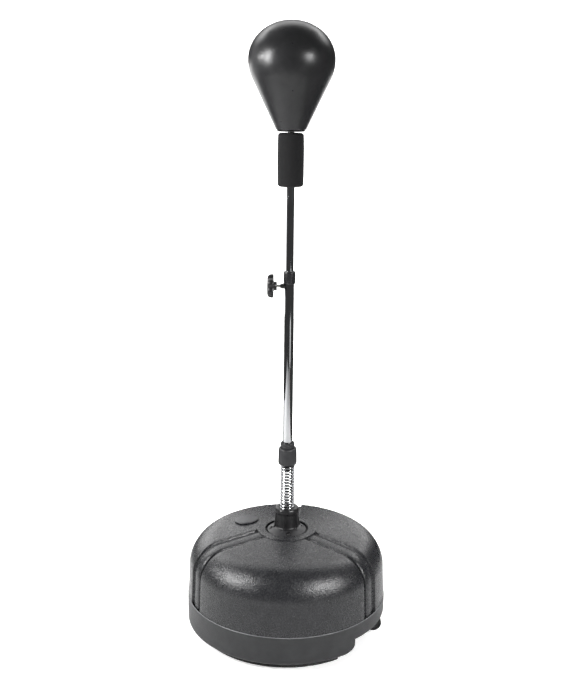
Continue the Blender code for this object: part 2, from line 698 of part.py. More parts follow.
def make_upper_plug():
    flange_low, flange_top = SPRING_HIGH_Z + WIRE_RADIUS + 0.0005, LOWER_TUBE_BOTTOM - GAP
    spigot = LOWER_TUBE_BORE - FIT
    profile = [(0.0, 0.4850), (spigot - 0.0010, 0.4850), (spigot, 0.4838), (spigot, flange_top),
               (0.0172, flange_top), (0.0172, flange_low), (SPRING_STEM, flange_low),
               (SPRING_STEM, 0.3992), (SPRING_STEM - 0.0012, 0.3980), (0.0, 0.3980)]
    return turned("spring_upper_plug", profile, STEEL)


# ---------------------------------------------------------------- lower pole

def make_spring_collar():
    low, high = COLLAR_Z
    bore = LOWER_TUBE_RADIUS + GAP
    profile = [
        (0.0182, high), (0.0196, high), (COLLAR_RADIUS - 0.0003, high - 0.0024),
        (COLLAR_RADIUS - 0.0005, high - 0.0055), (COLLAR_RADIUS, low + 0.0030),
        (COLLAR_RADIUS - 0.0006, low + 0.0016), (COLLAR_RADIUS - 0.0030, low), (SPRING_POCKET, low),
        (SPRING_POCKET, LOWER_TUBE_BOTTOM), (bore, LOWER_TUBE_BOTTOM), (bore, high - 0.0060),
        (0.0182, high - 0.0060),
    ]
    return turned("spring_collar", profile, GREY_PLASTIC, 28)


def make_collet():
    low, high = COLLAR_Z[1] - 0.0060 + GAP, COLLET_TOP_Z
    bore = LOWER_TUBE_RADIUS + GAP
    outer = COLLET_RADIUS
    profile = [(outer - 0.0020, high), (outer - 0.0004, high - 0.0008), (outer, high - 0.0030),
               (outer, high - 0.0060), (outer - 0.0010, high - 0.0068), (outer - 0.0010, high - 0.0082),
               (outer, high - 0.0090), (outer, low), (bore, low), (bore, high - 0.0060)]
    collet = turned("pole_collet", profile, GREY_PLASTIC, 24)
    for number in range(2):
        slot = box(f"collet_slot_{number}", (-0.03, -0.0011, high - 0.0065), (0.03, 0.0011, high + 0.01))
        cut(collet, place(slot, (0, 0, 0), (0, 0, math.radians(20 + 90 * number))))
    return collet


def make_lower_tube():
    pole = tube("lower_tube", LOWER_TUBE_RADIUS, LOWER_TUBE_BORE, LOWER_TUBE_BOTTOM, LOWER_TUBE_TOP, CHROME)
    pole.rotation_euler.z = OFF_GRID
    cut(pole, rod("clamp_hole", (-0.03, 0, CLAMP_Z), (0, 0, CLAMP_Z), CLAMP_SCREW_RADIUS + GAP, CHROME, 16))
    return pole


def make_clamp_collar():
    low, high = CLAMP_COLLAR_Z
    bore = LOWER_TUBE_RADIUS + GAP
    guide = UPPER_TUBE_RADIUS + FIT
    outer = CLAMP_COLLAR_RADIUS
    profile = [(guide + 0.0006, high), (outer - 0.0022, high), (outer - 0.0007, high - 0.0010),
               (outer, high - 0.0038), (outer, low + 0.0010), (outer - 0.0006, low), (bore, low),
               (bore, LOWER_TUBE_TOP + GAP), (guide, LOWER_TUBE_TOP + GAP), (guide, high - 0.0008)]
    return turned("clamp_collar", profile, BLACK_PLASTIC, 24)


def make_clamp_nut():
    """A tapered nut welded to the tube, saddled on its side."""
    bore, outer = CLAMP_SCREW_RADIUS + GAP, 0.0060
    profile = [(bore, 0.0218), (0.0042, 0.0218), (outer - 0.0006, 0.0176), (outer, 0.0164), (outer, 0.0080),
               (bore, 0.0080)]
    nut = turned("clamp_nut", profile, DARK_STEEL, 24)
    place(nut, (0, 0, CLAMP_Z), (0, -math.pi / 2, 0))
    saddle = rod("nut_saddle", (0, 0, -0.02), (0, 0, 0.02), LOWER_TUBE_RADIUS + GAP, DARK_STEEL, 36)
    cut(nut, place(saddle, (0, 0, CLAMP_Z), (0, 0, OFF_GRID)))
    return nut


# ---------------------------------------------------------------- clamp screw and knob

def make_clamp_pad():
    tip = -UPPER_TUBE_RADIUS - GAP
    return rod("clamp_pad", (tip, 0, CLAMP_Z), (tip - 0.0028, 0, CLAMP_Z), 0.0026, NYLON, 16)


def make_clamp_screw():
    tip = -UPPER_TUBE_RADIUS - 2 * GAP - 0.0028
    return rod("clamp_screw", (tip, 0, CLAMP_Z), (KNOB_X[0] - 0.0040, 0, CLAMP_Z), CLAMP_SCREW_RADIUS,
               STEEL, 16)


def make_clamp_knob():
    """A lobed knob with a domed face and a short boss, on the clamp screw."""
    inner, outer = KNOB_X
    thickness = inner - outer
    lobe_depth = 0.0042
    count = 36
    rows = [(0.00, 0.0), (0.66, 0.0), (0.82, 0.0012), (0.93, 0.0036), (0.985, 0.0070), (1.00, 0.0105),
            (1.00, thickness - 0.0015), (0.97, thickness), (0.00, thickness)]
    rings = []
    for share, back in rows:
        if share == 0.0:
            rings.append([(0.0, 0.0, -back)])
            continue
        ring = []
        for k in range(count):
            angle = 2 * math.pi * k / count
            lobe = KNOB_RADIUS - lobe_depth * (0.5 - 0.5 * math.cos(KNOB_LOBES * angle))
            ring.append(polar(share * lobe, angle, -back))
        rings.append(ring)
    knob = grid_solid("clamp_knob", rings, BLACK_PLASTIC)
    boss = rod("knob_boss", (0, 0, 0.0005 - thickness), (0, 0, -thickness - 0.0075), 0.0106, BLACK_PLASTIC, 24)
    place(knob, (outer, 0, CLAMP_Z), (0, -math.pi / 2, 0))
    place(boss, (outer, 0, CLAMP_Z), (OFF_GRID, -math.pi / 2, 0))
    join(knob, boss)
    cut(knob, rod("knob_thread", (inner - 0.0045, 0, CLAMP_Z), (0, 0, CLAMP_Z), CLAMP_SCREW_RADIUS + GAP,
                  BLACK_PLASTIC, 16))
    return knob


# ---------------------------------------------------------------- upper pole

def make_upper_tube():
    return tube("upper_tube", UPPER_TUBE_RADIUS, UPPER_TUBE_BORE, UPPER_TUBE_BOTTOM, UPPER_TUBE_TOP, CHROME)


def make_tube_end_plug():
    spigot = UPPER_TUBE_BORE - FIT
    head = LOWER_TUBE_BORE - GAP
    low = UPPER_TUBE_BOTTOM
    profile = [(0.0, low + 0.0180), (spigot - 0.0010, low + 0.0180), (spigot, low + 0.0165),
               (spigot, low - GAP), (head, low - GAP), (head, low - 0.0050), (0.0, low - 0.0050)]
    return turned("tube_end_plug", profile, BLACK_PLASTIC)


def make_pole_top_plug():
    spigot = UPPER_TUBE_BORE - FIT
    top = UPPER_TUBE_TOP
    bore = BALL_STUD_RADIUS + GAP
    profile = [(bore, top + 0.0042), (UPPER_TUBE_RADIUS, top + 0.0042), (UPPER_TUBE_RADIUS, top + GAP),
               (spigot, top + GAP), (spigot, top - 0.0380), (spigot - 0.0010, top - 0.0390),
               (bore, top - 0.0390)]
    return turned("pole_top_plug", profile, STEEL)


def make_foam_sleeve():
    low, high = FOAM_Z
    bore = UPPER_TUBE_RADIUS + FIT
    neck = 0.0076
    corner = 0.0050
    middle = (low + high) / 2
    outer = arc((FOAM_RADIUS - 0.0004 - corner, high - corner), corner, 90, 0, 4)
    outer += [(FOAM_RADIUS, middle + 0.025), (FOAM_RADIUS, middle - 0.025)]
    outer += arc((FOAM_RADIUS - 0.0004 - corner, low + corner), corner, 0, -90, 4)
    profile = [(neck, high)] + outer
    profile += [(bore, low), (bore, UPPER_TUBE_TOP + 0.0045), (neck, UPPER_TUBE_TOP + 0.0045)]
    return turned("foam_sleeve", profile, FOAM, 28)


def make_ball_fastening():
    plate_low, plate_top = BALL_BOTTOM_Z - 0.0030 - GAP, BALL_BOTTOM_Z - GAP
    inner_low = BALL_BOTTOM_Z + BALL_WALL + GAP
    inner_top = inner_low + 0.0025
    bore = BALL_STUD_RADIUS + GAP
    plate = turned("ball_plate", [(bore, plate_top), (0.0310, plate_top), (0.0318, plate_top - 0.0012),
                                  (0.0305, plate_low), (bore, plate_low)], BLACK_PLASTIC, 24)
    inner = turned("ball_inner_plate", [(bore, inner_top), (0.0280, inner_top), (0.0285, inner_top - 0.0008),
                                        (0.0285, inner_low), (bore, inner_low)], BLACK_PLASTIC, 24)
    nut_low = UPPER_TUBE_TOP + 0.0045
    nut = turned("ball_lock_nut", [(bore, plate_low - GAP), (0.0068, plate_low - GAP),
                                   (0.0072, plate_low - 0.0012), (0.0072, nut_low), (bore, nut_low)],
                 BLACK_PLASTIC, 24)
    head_low = inner_top + GAP
    stud = turned("ball_stud", [(0.0, head_low + 0.0050), (0.0062, head_low + 0.0050),
                                (0.0068, head_low + 0.0042), (0.0068, head_low),
                                (BALL_STUD_RADIUS, head_low), (BALL_STUD_RADIUS, 1.1520),
                                (BALL_STUD_RADIUS - 0.0010, 1.1510), (0.0, 1.1510)], STEEL, 24)
    return [plate, inner, nut, stud]


def ball_profile(inset, count):
    """Down the outside of the ball, moved inwards by inset, from the pole to the edge of its flat bottom."""
    radius = BALL_RADIUS - inset
    height = BALL_TOP_Z - BALL_WIDEST_Z - inset
    points = []
    for a in np.radians(np.linspace(90, 0, count)):
        points.append((radius * math.cos(a), BALL_WIDEST_Z + height * math.sin(a)))
    points[0] = (0.0, points[0][1])
    bend = BALL_ARC_RADIUS - inset
    centre = (BALL_RADIUS - BALL_ARC_RADIUS, BALL_WIDEST_Z)
    points += arc(centre, bend, 0, -math.degrees(BALL_CONE_ANGLE), 5)[1:]
    last = points[-1]
    low = BALL_BOTTOM_Z + inset
    for share in (0.5, 0.97):
        z = last[1] + (low - last[1]) * share
        points.append((last[0] - (last[1] - z) * math.tan(BALL_CONE_ANGLE), z))
    points.append((points[-1][0] - 0.0016, low))
    return points


def make_ball():
    """An inflated skin with a hole for its stud and one for its valve."""
    hole = BALL_STUD_RADIUS + GAP
    outside = ball_profile(0.0, 9)
    inside = ball_profile(BALL_WALL, 5)
    ball = turned("ball", outside + [(hole, BALL_BOTTOM_Z), (hole, BALL_BOTTOM_Z + BALL_WALL)]
                  + inside[::-1], BALL_SKIN, 32)
    ball.rotation_euler.z = OFF_GRID
    cut(ball, rod("valve_hole", (0, 0.08, BALL_WIDEST_Z), (0, 0.11, BALL_WIDEST_Z), 0.0044, BALL_SKIN, 16))
    valve = turned("ball_valve", [(0.0, 0.0), (0.0008, 0.0004), (0.0030, 0.0008), (0.0041, 0.0004),
                                  (0.0041, -0.0050), (0.0030, -0.0120), (0.0, -0.0120)], RUBBER, 16)
    place(valve, (0, BALL_RADIUS, BALL_WIDEST_Z), (-math.pi / 2, 0, 0))
    return [ball, valve]


# ---------------------------------------------------------------- assembly

def build():
    make_tank()
    make_filler_plug()
    make_tray()
    make_foot_ring()
    make_wheels()
    make_hub()
    make_hub_screws()
    make_lower_plug()
    low_bend = joint_empty("spring_bend_low", (0.0, 0.0, SPRING_PIVOTS_Z[0]))
    hang(low_bend, make_spring())
    bend = joint_empty("spring_bend_high", (0.0, 0.0, SPRING_PIVOTS_Z[1]), low_bend)
    hang(bend, make_upper_plug(), make_spring_collar(), make_collet(), make_lower_tube(),
         make_clamp_collar(), make_clamp_nut())
    screw_axis = joint_empty("clamp_axis", (0.0, 0.0, CLAMP_Z), bend)
    hang(screw_axis, make_clamp_pad(), make_clamp_screw(), make_clamp_knob())
    slide = joint_empty("upper_pole_slide", (0.0, 0.0, CLAMP_COLLAR_Z[1]), bend)
    hang(slide, make_upper_tube(), make_tube_end_plug(), make_pole_top_plug(), make_foam_sleeve(),
         *make_ball_fastening(), *make_ball())


build()
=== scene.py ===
"""Looks for the free-standing reflex ball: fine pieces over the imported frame, materials, light and camera."""

import math

import bmesh
import bpy
import numpy as np
from mathutils import Matrix, Vector


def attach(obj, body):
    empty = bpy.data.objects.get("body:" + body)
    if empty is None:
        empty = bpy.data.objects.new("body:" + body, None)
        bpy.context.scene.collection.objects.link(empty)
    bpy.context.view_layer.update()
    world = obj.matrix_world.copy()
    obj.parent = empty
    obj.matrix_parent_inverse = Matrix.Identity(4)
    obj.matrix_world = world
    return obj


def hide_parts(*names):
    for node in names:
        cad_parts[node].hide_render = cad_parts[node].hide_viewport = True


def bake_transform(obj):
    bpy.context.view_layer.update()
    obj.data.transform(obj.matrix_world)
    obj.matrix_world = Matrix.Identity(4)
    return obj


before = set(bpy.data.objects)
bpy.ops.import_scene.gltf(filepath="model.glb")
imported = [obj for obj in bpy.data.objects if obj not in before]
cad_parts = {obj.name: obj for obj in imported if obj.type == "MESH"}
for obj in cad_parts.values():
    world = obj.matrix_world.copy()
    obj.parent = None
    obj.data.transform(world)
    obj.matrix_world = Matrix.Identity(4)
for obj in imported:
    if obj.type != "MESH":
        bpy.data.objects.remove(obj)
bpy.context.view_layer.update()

# ---------------------------------------------------------------- sizes, as in the CAD model

GAP = 0.0003                  # between pieces that touch
TINY = 1e-7                   # below this, points are one point and a radius is on the axis
BASE_RADIUS, SKIRT_RADIUS, SKIRT_DRAFT, FOOT_RADIUS = 0.2405, 0.2422, 0.0005, 0.216
SEAM_Z, SKIRT_BOTTOM_Z, WEB_TOP_Z, WALL = 0.0904, 0.0188, 0.0563, 0.003
TANK_LOW_RADIUS = SKIRT_RADIUS - WALL - 0.0010
WEB_LOW_Z = WEB_TOP_Z - WALL
TANK_BOTTOM_Z = WEB_TOP_Z + 0.0005
RECESS_RADIUS, RECESS_FLOOR_Z, RING_RADIUS, RING_TOP_Z, RING_STEP = 0.0524, 0.2400, 0.0718, 0.2515, 0.0022
CROWN_END, SIDE_TOP, SHOULDER_PULL = (0.1728, 0.2377), (0.2371, 0.1692), 0.672
CHANNEL_ANGLES = [math.radians(a) for a in (86, 206, 326)]
CHANNEL_HALF_WIDTH, CHANNEL_WALL_SLOPE, CHANNEL_DEPTH = 0.025, 0.0010, 0.0055
CHANNEL_RIB_HALF_WIDTH, CHANNEL_RIB_DEPTH = 0.0135, 0.0018
FILLER_ANGLE, FILLER_RADIUS, FILLER_TILT = math.radians(150.4), 0.1155, math.radians(6.56)
NECK_BORE, NECK_OUTER, PLUG_RADIUS = 0.0212, 0.0245, 0.0296
CUTOUT_HALF_ANGLE, CUTOUT_ROUNDING, FOOT_CHORD_X = math.radians(48), math.radians(8), 0.126
WHEEL_X, WHEEL_Y, WHEEL_Z, WHEEL_RADIUS = 0.2125, 0.0575, 0.032, 0.020
TREAD_HALF_WIDTH, WHEEL_HUB_HALF_WIDTH = 0.0110, 0.0120
FLANGE_RADIUS, FLANGE_LOW, FLANGE_TOP, HUB_TOP_Z = 0.0475, 0.2416, 0.2492, 0.3075
HUB_CONE, HUB_WELL_Z = (0.0290, 0.2590), 0.2502
SCREW_CIRCLE = 0.040
SCREW_ANGLES = [math.radians(7 + 90 * i) for i in range(4)]
RIB_ANGLES = [math.radians(15 + 60 * i) for i in range(6)]
WIRE_RADIUS, COIL_RADIUS, COIL_PITCH = 0.0026, 0.0150, 0.0074
SPRING_LOW_Z, SPRING_MIDDLE_Z, SPRING_HIGH_Z = 0.264, 0.360, 0.437
TUBE_RADIUS, TUBE_BORE, TUBE_LOW_Z, TUBE_TOP_Z = 0.0113, 0.0099, 0.4441, 0.8790
INNER_TUBE_RADIUS, INNER_TUBE_BORE, INNER_TUBE_LOW_Z, INNER_TUBE_TOP_Z = 0.0095, 0.0085, 0.675, 1.185
CLAMP_Z, SCREW_HOLE_RADIUS = 0.851, 0.0033
FOAM_LOW_Z, FOAM_TOP_Z, FOAM_RADIUS = 1.078, 1.196, 0.0299
BALL_RADIUS, BALL_WIDEST_Z, BALL_TOP_Z, BALL_BOTTOM_Z = 0.0956, 1.352, 1.4355, 1.2023
BALL_ARC_RADIUS, BALL_CONE_ANGLE = 0.0920, math.radians(25.8)


# ---------------------------------------------------------------- mesh tools

def new_object(name, mesh, material):
    obj = bpy.data.objects.new(name, mesh)
    bpy.context.scene.collection.objects.link(obj)
    mesh.materials.clear()
    mesh.materials.append(material)
    return obj


def smooth(mesh, angle=35):
    mesh.shade_smooth()
    mesh.set_sharp_from_angle(angle=math.radians(angle))


def outward(mesh):
    """Joins points that fall together and turns every face outward."""
    bm = bmesh.new()
    bm.from_mesh(mesh)
    bmesh.ops.remove_doubles(bm, verts=bm.verts, dist=TINY)
    bmesh.ops.recalc_face_normals(bm, faces=bm.faces)
    bm.to_mesh(mesh)
    bm.free()


def polar(radius, angle, z):
    return (radius * math.cos(angle), radius * math.sin(angle), z)


def from_rings(name, rings, material, closed=False, angle=35):
    """A skin over rings of equal length. A ring of one point is a pole; closed joins the last to the first."""
    points, rows = [], []
    for ring in rings:
        rows.append(range(len(points), len(points) + len(ring)))
        points += ring
    pairs = list(zip(rows, rows[1:]))
    if closed:
        pairs.append((rows[-1], rows[0]))
    faces = []
    for upper, lower in pairs:
        count = max(len(upper), len(lower))
        for i in range(count):
            j = (i + 1) % count
            if len(upper) == 1:
                faces.append((upper[0], lower[i], lower[j]))
            elif len(lower) == 1:
                faces.append((upper[j], upper[i], lower[0]))
            else:
                faces.append((upper[j], upper[i], lower[i], lower[j]))
    mesh = bpy.data.meshes.new(name)
    mesh.from_pydata(points, [], faces)
    outward(mesh)
    smooth(mesh, angle)
    return new_object(name, mesh, material)


def eased(profile, radius, closed=False, count=4):
    """The profile with its sharp corners rounded. Corners that turn less than bend_limit stay as they are."""
    bend_limit, longest_share = math.radians(12), 0.45
    total = len(profile)
    result = []
    for i, point in enumerate(profile):
        if not closed and i in (0, total - 1):
            result.append(tuple(point))
            continue
        here = Vector(point)
        before, after = Vector(profile[i - 1]) - here, Vector(profile[(i + 1) % total]) - here
        turn = math.pi - before.angle(after, 0.0)
        if turn < bend_limit:
            result.append(tuple(point))
            continue
        reach = min(radius * math.tan(turn / 2), longest_share * before.length, longest_share * after.length)
        start, end = here + before.normalized() * reach, here + after.normalized() * reach
        for k in range(count + 1):
            t = k / count
            result.append(tuple((1 - t) ** 2 * start + 2 * t * (1 - t) * here + t * t * end))
    return result


def turned(name, profile, material, ease=0.0004, steps=96, angle=35):
    """A turned solid. It is closed unless both ends of the profile, of (radius, z), are on the axis."""
    closed = profile[0][0] > 0
    line = eased(profile, ease, closed) if ease else profile
    rings = []
    for radius, z in line:
        if radius < TINY:
            rings.append([(0.0, 0.0, z)])
        else:
            rings.append([polar(radius, 2 * math.pi * k / steps, z) for k in range(steps)])
    return from_rings(name, rings, material, closed, angle)


def prism(name, outline, low, high, material, ease=0.0004):
    """A flat outline of (x, y), extruded from low to high, with eased edges."""
    bm = bmesh.new()
    face = bm.faces.new([bm.verts.new((x, y, low)) for x, y in outline])
    raised = bmesh.ops.extrude_face_region(bm, geom=[face])["geom"]
    bmesh.ops.translate(bm, verts=[g for g in raised if isinstance(g, bmesh.types.BMVert)],
                        vec=(0, 0, high - low))
    bmesh.ops.recalc_face_normals(bm, faces=bm.faces)
    mesh = bpy.data.meshes.new(name)
    bm.to_mesh(mesh)
    bm.free()
    obj = new_object(name, mesh, material)
    bevel(obj, ease, 2)
    smooth(mesh)
    return obj


def block(name, low, high, material, ease=0.0005):
    outline = [(low[0], low[1]), (high[0], low[1]), (high[0], high[1]), (low[0], high[1])]
    return prism(name, outline, low[2], high[2], material, ease)


def bevel(obj, width, segments=3, angle=30):
    modifier = obj.modifiers.new("edges", "BEVEL")
    modifier.width = width
    modifier.segments = segments
    modifier.limit_method = "ANGLE"
    modifier.angle_limit = math.radians(angle)
    modifier.harden_normals = False
    return modifier


def apply_modifiers(obj, angle=35):
    bpy.context.view_layer.update()
    seen = obj.evaluated_get(bpy.context.evaluated_depsgraph_get())
    mesh = bpy.data.meshes.new_from_object(seen)
    mesh.name = obj.name
    obj.modifiers.clear()
    obj.data = mesh
    smooth(mesh, angle)
    return obj


def cut(obj, *cutters, angle=35):
    for cutter in cutters:
        modifier = obj.modifiers.new("cut", "BOOLEAN")
        modifier.operation = "DIFFERENCE"
        modifier.solver = "EXACT"
        modifier.object = cutter
    apply_modifiers(obj, angle)
    for cutter in cutters:
        bpy.data.objects.remove(cutter, do_unlink=True)
    return obj


def put(obj, location=(0, 0, 0), rotation=(0, 0, 0)):
    """Moves the mesh itself, so that the object stays at the origin."""
    turn = Matrix.Rotation(rotation[2], 4, "Z") @ Matrix.Rotation(rotation[1], 4, "Y")
    turn = turn @ Matrix.Rotation(rotation[0], 4, "X")
    obj.data.transform(Matrix.Translation(location) @ turn)
    return obj


def along_x(obj):
    """Turns a piece made along Z so that its +Z points to -X, at the clamp's height."""
    return put(obj, (0, 0, CLAMP_Z), (0, -math.pi / 2, 0))


def rod(name, start, end, radius, material, steps=48):
    start, end = Vector(start), Vector(end)
    length = (end - start).length
    obj = turned(name, [(0.0, length), (radius, length), (radius, 0.0), (0.0, 0.0)], material, 0.0003, steps)
    obj.data.transform(Matrix.Translation(start) @ (end - start).to_track_quat("Z", "Y").to_matrix().to_4x4())
    return obj


def finish_piece(obj, body, slot, *nodes):
    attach(obj, body)
    if nodes:
        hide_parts(*nodes)
    return obj


# ---------------------------------------------------------------- materials

class Shader:
    """A Principled material with small helpers for its texture nodes."""

    def __init__(self, name, colour, roughness, metallic=0.0):
        self.material = bpy.data.materials.new(name)
        self.material.use_nodes = True
        self.tree = self.material.node_tree
        self.principled = self.tree.nodes["Principled BSDF"]
        self.set("Base Color", (*colour, 1.0))
        self.set("Roughness", roughness)
        self.set("Metallic", metallic)
        self.place = self.tree.nodes.new("ShaderNodeTexCoord").outputs["Object"]
        self.normal = None

    def set(self, socket, value):
        self.principled.inputs[socket].default_value = value

    def node(self, kind, **values):
        node = self.tree.nodes.new(kind)
        for key, value in values.items():
            if key in node.inputs:
                node.inputs[key].default_value = value
            else:
                setattr(node, key, value)
        return node

    def link(self, output, target):
        self.tree.links.new(output, target)

    def noise(self, scale, detail=3.0, roughness=0.5):
        node = self.node("ShaderNodeTexNoise", Scale=scale, Detail=detail, Roughness=roughness)
        self.link(self.place, node.inputs["Vector"])
        return node.outputs["Fac"]

    def cells(self, scale, feature="F1", output="Distance"):
        node = self.node("ShaderNodeTexVoronoi", Scale=scale, feature=feature)
        self.link(self.place, node.inputs["Vector"])
        return node.outputs[output]

    def ramp(self, source, low, high, start=0.3, end=0.7):
        """Maps a 0 to 1 texture to the range from low to high, which are numbers or colours."""
        if isinstance(low, (int, float)):
            node = self.node("ShaderNodeMapRange")
            for socket, value in (("From Min", start), ("From Max", end), ("To Min", low), ("To Max", high)):
                node.inputs[socket].default_value = value
            self.link(source, node.inputs["Value"])
            return node.outputs["Result"]
        node = self.node("ShaderNodeValToRGB")
        first, last = node.color_ramp.elements
        first.position, last.position = start, end
        first.color, last.color = (*low, 1.0), (*high, 1.0)
        self.link(source, node.inputs["Fac"])
        return node.outputs["Color"]

    def colour(self, output):
        self.link(output, self.principled.inputs["Base Color"])

    def rough(self, output):
        self.link(output, self.principled.inputs["Roughness"])

    def bump(self, height, strength, distance):
        node = self.node("ShaderNodeBump", Strength=strength, Distance=distance)
        self.link(height, node.inputs["Height"])
        if self.normal:
            self.link(self.normal, node.inputs["Normal"])
        self.normal = node.outputs["Normal"]
        self.link(self.normal, self.principled.inputs["Normal"])


def pebbled_plastic(name, colour, lighter, roughness, grain, depth):
    """Moulded plastic with a pebble grain whose pebbles differ in gloss, faint scuffs and a little unevenness."""
    s = Shader(name, colour, roughness)
    s.colour(s.ramp(s.noise(38, 5, 0.6), colour, lighter, 0.35, 0.75))
    gloss_spread, pebble_height, crease_height, wave_height = 0.24 * depth, 0.0011, 0.0013, 0.004
    s.rough(s.ramp(s.cells(grain, output="Color"), roughness - gloss_spread, roughness + gloss_spread, 0.1, 0.9))
    s.bump(s.cells(grain, feature="SMOOTH_F1"), depth, pebble_height)
    s.bump(s.noise(grain * 0.9, 3, 0.7), depth, crease_height)
    s.bump(s.noise(9, 2), 0.10, wave_height)
    s.set("Specular IOR Level", 0.45)
    return s.material


def moulded_plastic(name, colour, roughness, coat=0.0):
    """Smooth moulded plastic, slightly uneven in colour and gloss."""
    s = Shader(name, colour, roughness)
    lighter = tuple(c * 1.4 + 0.002 for c in colour)
    s.colour(s.ramp(s.noise(60, 5, 0.6), colour, lighter, 0.4, 0.8))
    s.rough(s.ramp(s.noise(110, 4, 0.6), roughness - 0.05, roughness + 0.08))
    s.bump(s.noise(1400, 2), 0.25, 0.00012)
    s.set("Specular IOR Level", 0.40)
    s.set("Coat Weight", coat)
    s.set("Coat Roughness", 0.18)
    return s.material


def chrome_plate(name):
    """Polished plating with a faint haze and a little waviness."""
    s = Shader(name, (0.60, 0.605, 0.62), 0.07, 1.0)
    s.rough(s.ramp(s.noise(30, 6, 0.7), 0.035, 0.10))
    s.colour(s.ramp(s.noise(16, 4, 0.6), (0.55, 0.555, 0.57), (0.64, 0.645, 0.66)))
    s.bump(s.noise(55, 3), 0.03, 0.0008)
    return s.material


def zinc_steel(name, colour=(0.52, 0.52, 0.50), roughness=0.32):
    s = Shader(name, colour, roughness, 1.0)
    s.colour(s.ramp(s.noise(300, 5, 0.6), tuple(c * 0.75 for c in colour), colour))
    s.rough(s.ramp(s.noise(500, 4), roughness - 0.08, roughness + 0.12))
    s.bump(s.noise(2500, 2), 0.15, 0.0001)
    return s.material


def spring_wire(name):
    """Plated wire with faint drawing marks."""
    s = Shader(name, (0.50, 0.505, 0.52), 0.14, 1.0)
    s.rough(s.ramp(s.noise(220, 5, 0.7), 0.09, 0.22))
    s.colour(s.ramp(s.noise(90, 5, 0.65), (0.42, 0.425, 0.44), (0.56, 0.565, 0.58)))
    s.bump(s.noise(700, 3), 0.12, 0.0002)
    return s.material


def matt_rubber(name):
    """Matt rubber, paler where it is scuffed."""
    colour = (0.016, 0.016, 0.016)
    s = Shader(name, colour, 0.72)
    s.colour(s.ramp(s.noise(80, 5, 0.6), colour, tuple(c * 2.2 for c in colour), 0.4, 0.8))
    s.rough(s.ramp(s.noise(150, 4), 0.62, 0.85))
    s.bump(s.noise(1600, 3), 0.35, 0.0002)
    return s.material


def closed_cell_foam(name):
    """Matt black foam: fine open pores, a slightly lumpy skin."""
    s = Shader(name, (0.007, 0.007, 0.0075), 0.92)
    s.colour(s.ramp(s.cells(900), (0.003, 0.003, 0.0035), (0.011, 0.011, 0.0115), 0.1, 0.6))
    s.bump(s.cells(900), 0.75, 0.0005)
    s.bump(s.noise(420, 4, 0.7), 0.55, 0.0006)
    s.bump(s.noise(45, 3), 0.25, 0.0015)
    s.set("Specular IOR Level", 0.25)
    s.set("Sheen Weight", 0.015)
    s.set("Sheen Roughness", 0.6)
    return s.material


def ball_cover(name):
    """Smooth coated cover: very fine grain, soft gloss with slight handling marks."""
    s = Shader(name, (0.016, 0.016, 0.017), 0.31)
    s.colour(s.ramp(s.noise(26, 6, 0.65), (0.012, 0.012, 0.013), (0.020, 0.020, 0.021)))
    s.rough(s.ramp(s.noise(48, 6, 0.7), 0.27, 0.36))
    s.bump(s.cells(750, feature="SMOOTH_F1"), 0.22, 0.0002)
    s.bump(s.noise(14, 2), 0.10, 0.003)
    s.set("Specular IOR Level", 0.42)
    return s.material


BASE = pebbled_plastic("base_plastic", (0.012, 0.0124, 0.0136), (0.019, 0.0194, 0.0212), 0.27, 400, 0.40)
TRAY = pebbled_plastic("tray_plastic", (0.012, 0.0124, 0.0136), (0.020, 0.0204, 0.0220), 0.42, 700, 0.14)
# A lighter strip for the skirt's top rim: a painted highlight where the rim catches the light.
PAINTED_RIM_HIGHLIGHT = pebbled_plastic("tray_rim_painted_highlight", (0.110, 0.112, 0.116), (0.140, 0.142, 0.146), 0.34, 700, 0.10)
FLANGE = moulded_plastic("hub_flange_plastic", (0.012, 0.012, 0.013), 0.46)
PLUG = pebbled_plastic("plug_plastic", (0.024, 0.0245, 0.0265), (0.032, 0.0325, 0.035), 0.42, 700, 0.16)
BLACK = moulded_plastic("black_plastic", (0.009, 0.009, 0.0095), 0.30)
GLOSS = moulded_plastic("gloss_black_plastic", (0.012, 0.012, 0.013), 0.24, 0.3)
GREY = moulded_plastic("grey_plastic", (0.018, 0.018, 0.0195), 0.36)
NYLON = moulded_plastic("nylon", (0.62, 0.61, 0.56), 0.42)
RUBBER = matt_rubber("rubber")
FOAM = closed_cell_foam("foam")
CHROME = chrome_plate("chrome")
WIRE = spring_wire("spring_wire")
STEEL = zinc_steel("zinc_steel")
DARK_STEEL = zinc_steel("dark_steel", (0.10, 0.10, 0.10), 0.38)
BALL = ball_cover("ball_skin")


# ---------------------------------------------------------------- base: tank

def shoulder(count):
    """(radius, z) round the shoulder, from the end of the crown to the top of the side."""
    crown, side = CROWN_END, SIDE_TOP
    reach = side[0] - crown[0]
    slope = (crown[1] - RING_TOP_Z + RING_STEP) / (crown[0] - RING_RADIUS)
    corner_z = crown[1] + slope * reach
    p1 = (crown[0] + SHOULDER_PULL * reach, crown[1] + slope * SHOULDER_PULL * reach)
    p2 = (side[0], side[1] + (1 - SHOULDER_PULL) * (corner_z - side[1]))
    points = []
    for t in np.linspace(0.0, 1.0, count):
        weights = ((1 - t) ** 3, 3 * t * (1 - t) ** 2, 3 * t * t * (1 - t), t ** 3)
        points.append(tuple(sum(w * p[k] for w, p in zip(weights, (crown, p1, p2, side))) for k in (0, 1)))
    return points


def crown_height(radius):
    """The crown is a flat cone between the raised ring and the shoulder."""
    start = (RING_RADIUS, RING_TOP_Z - RING_STEP)
    return start[1] + (radius - start[0]) / (CROWN_END[0] - start[0]) * (CROWN_END[1] - start[1])


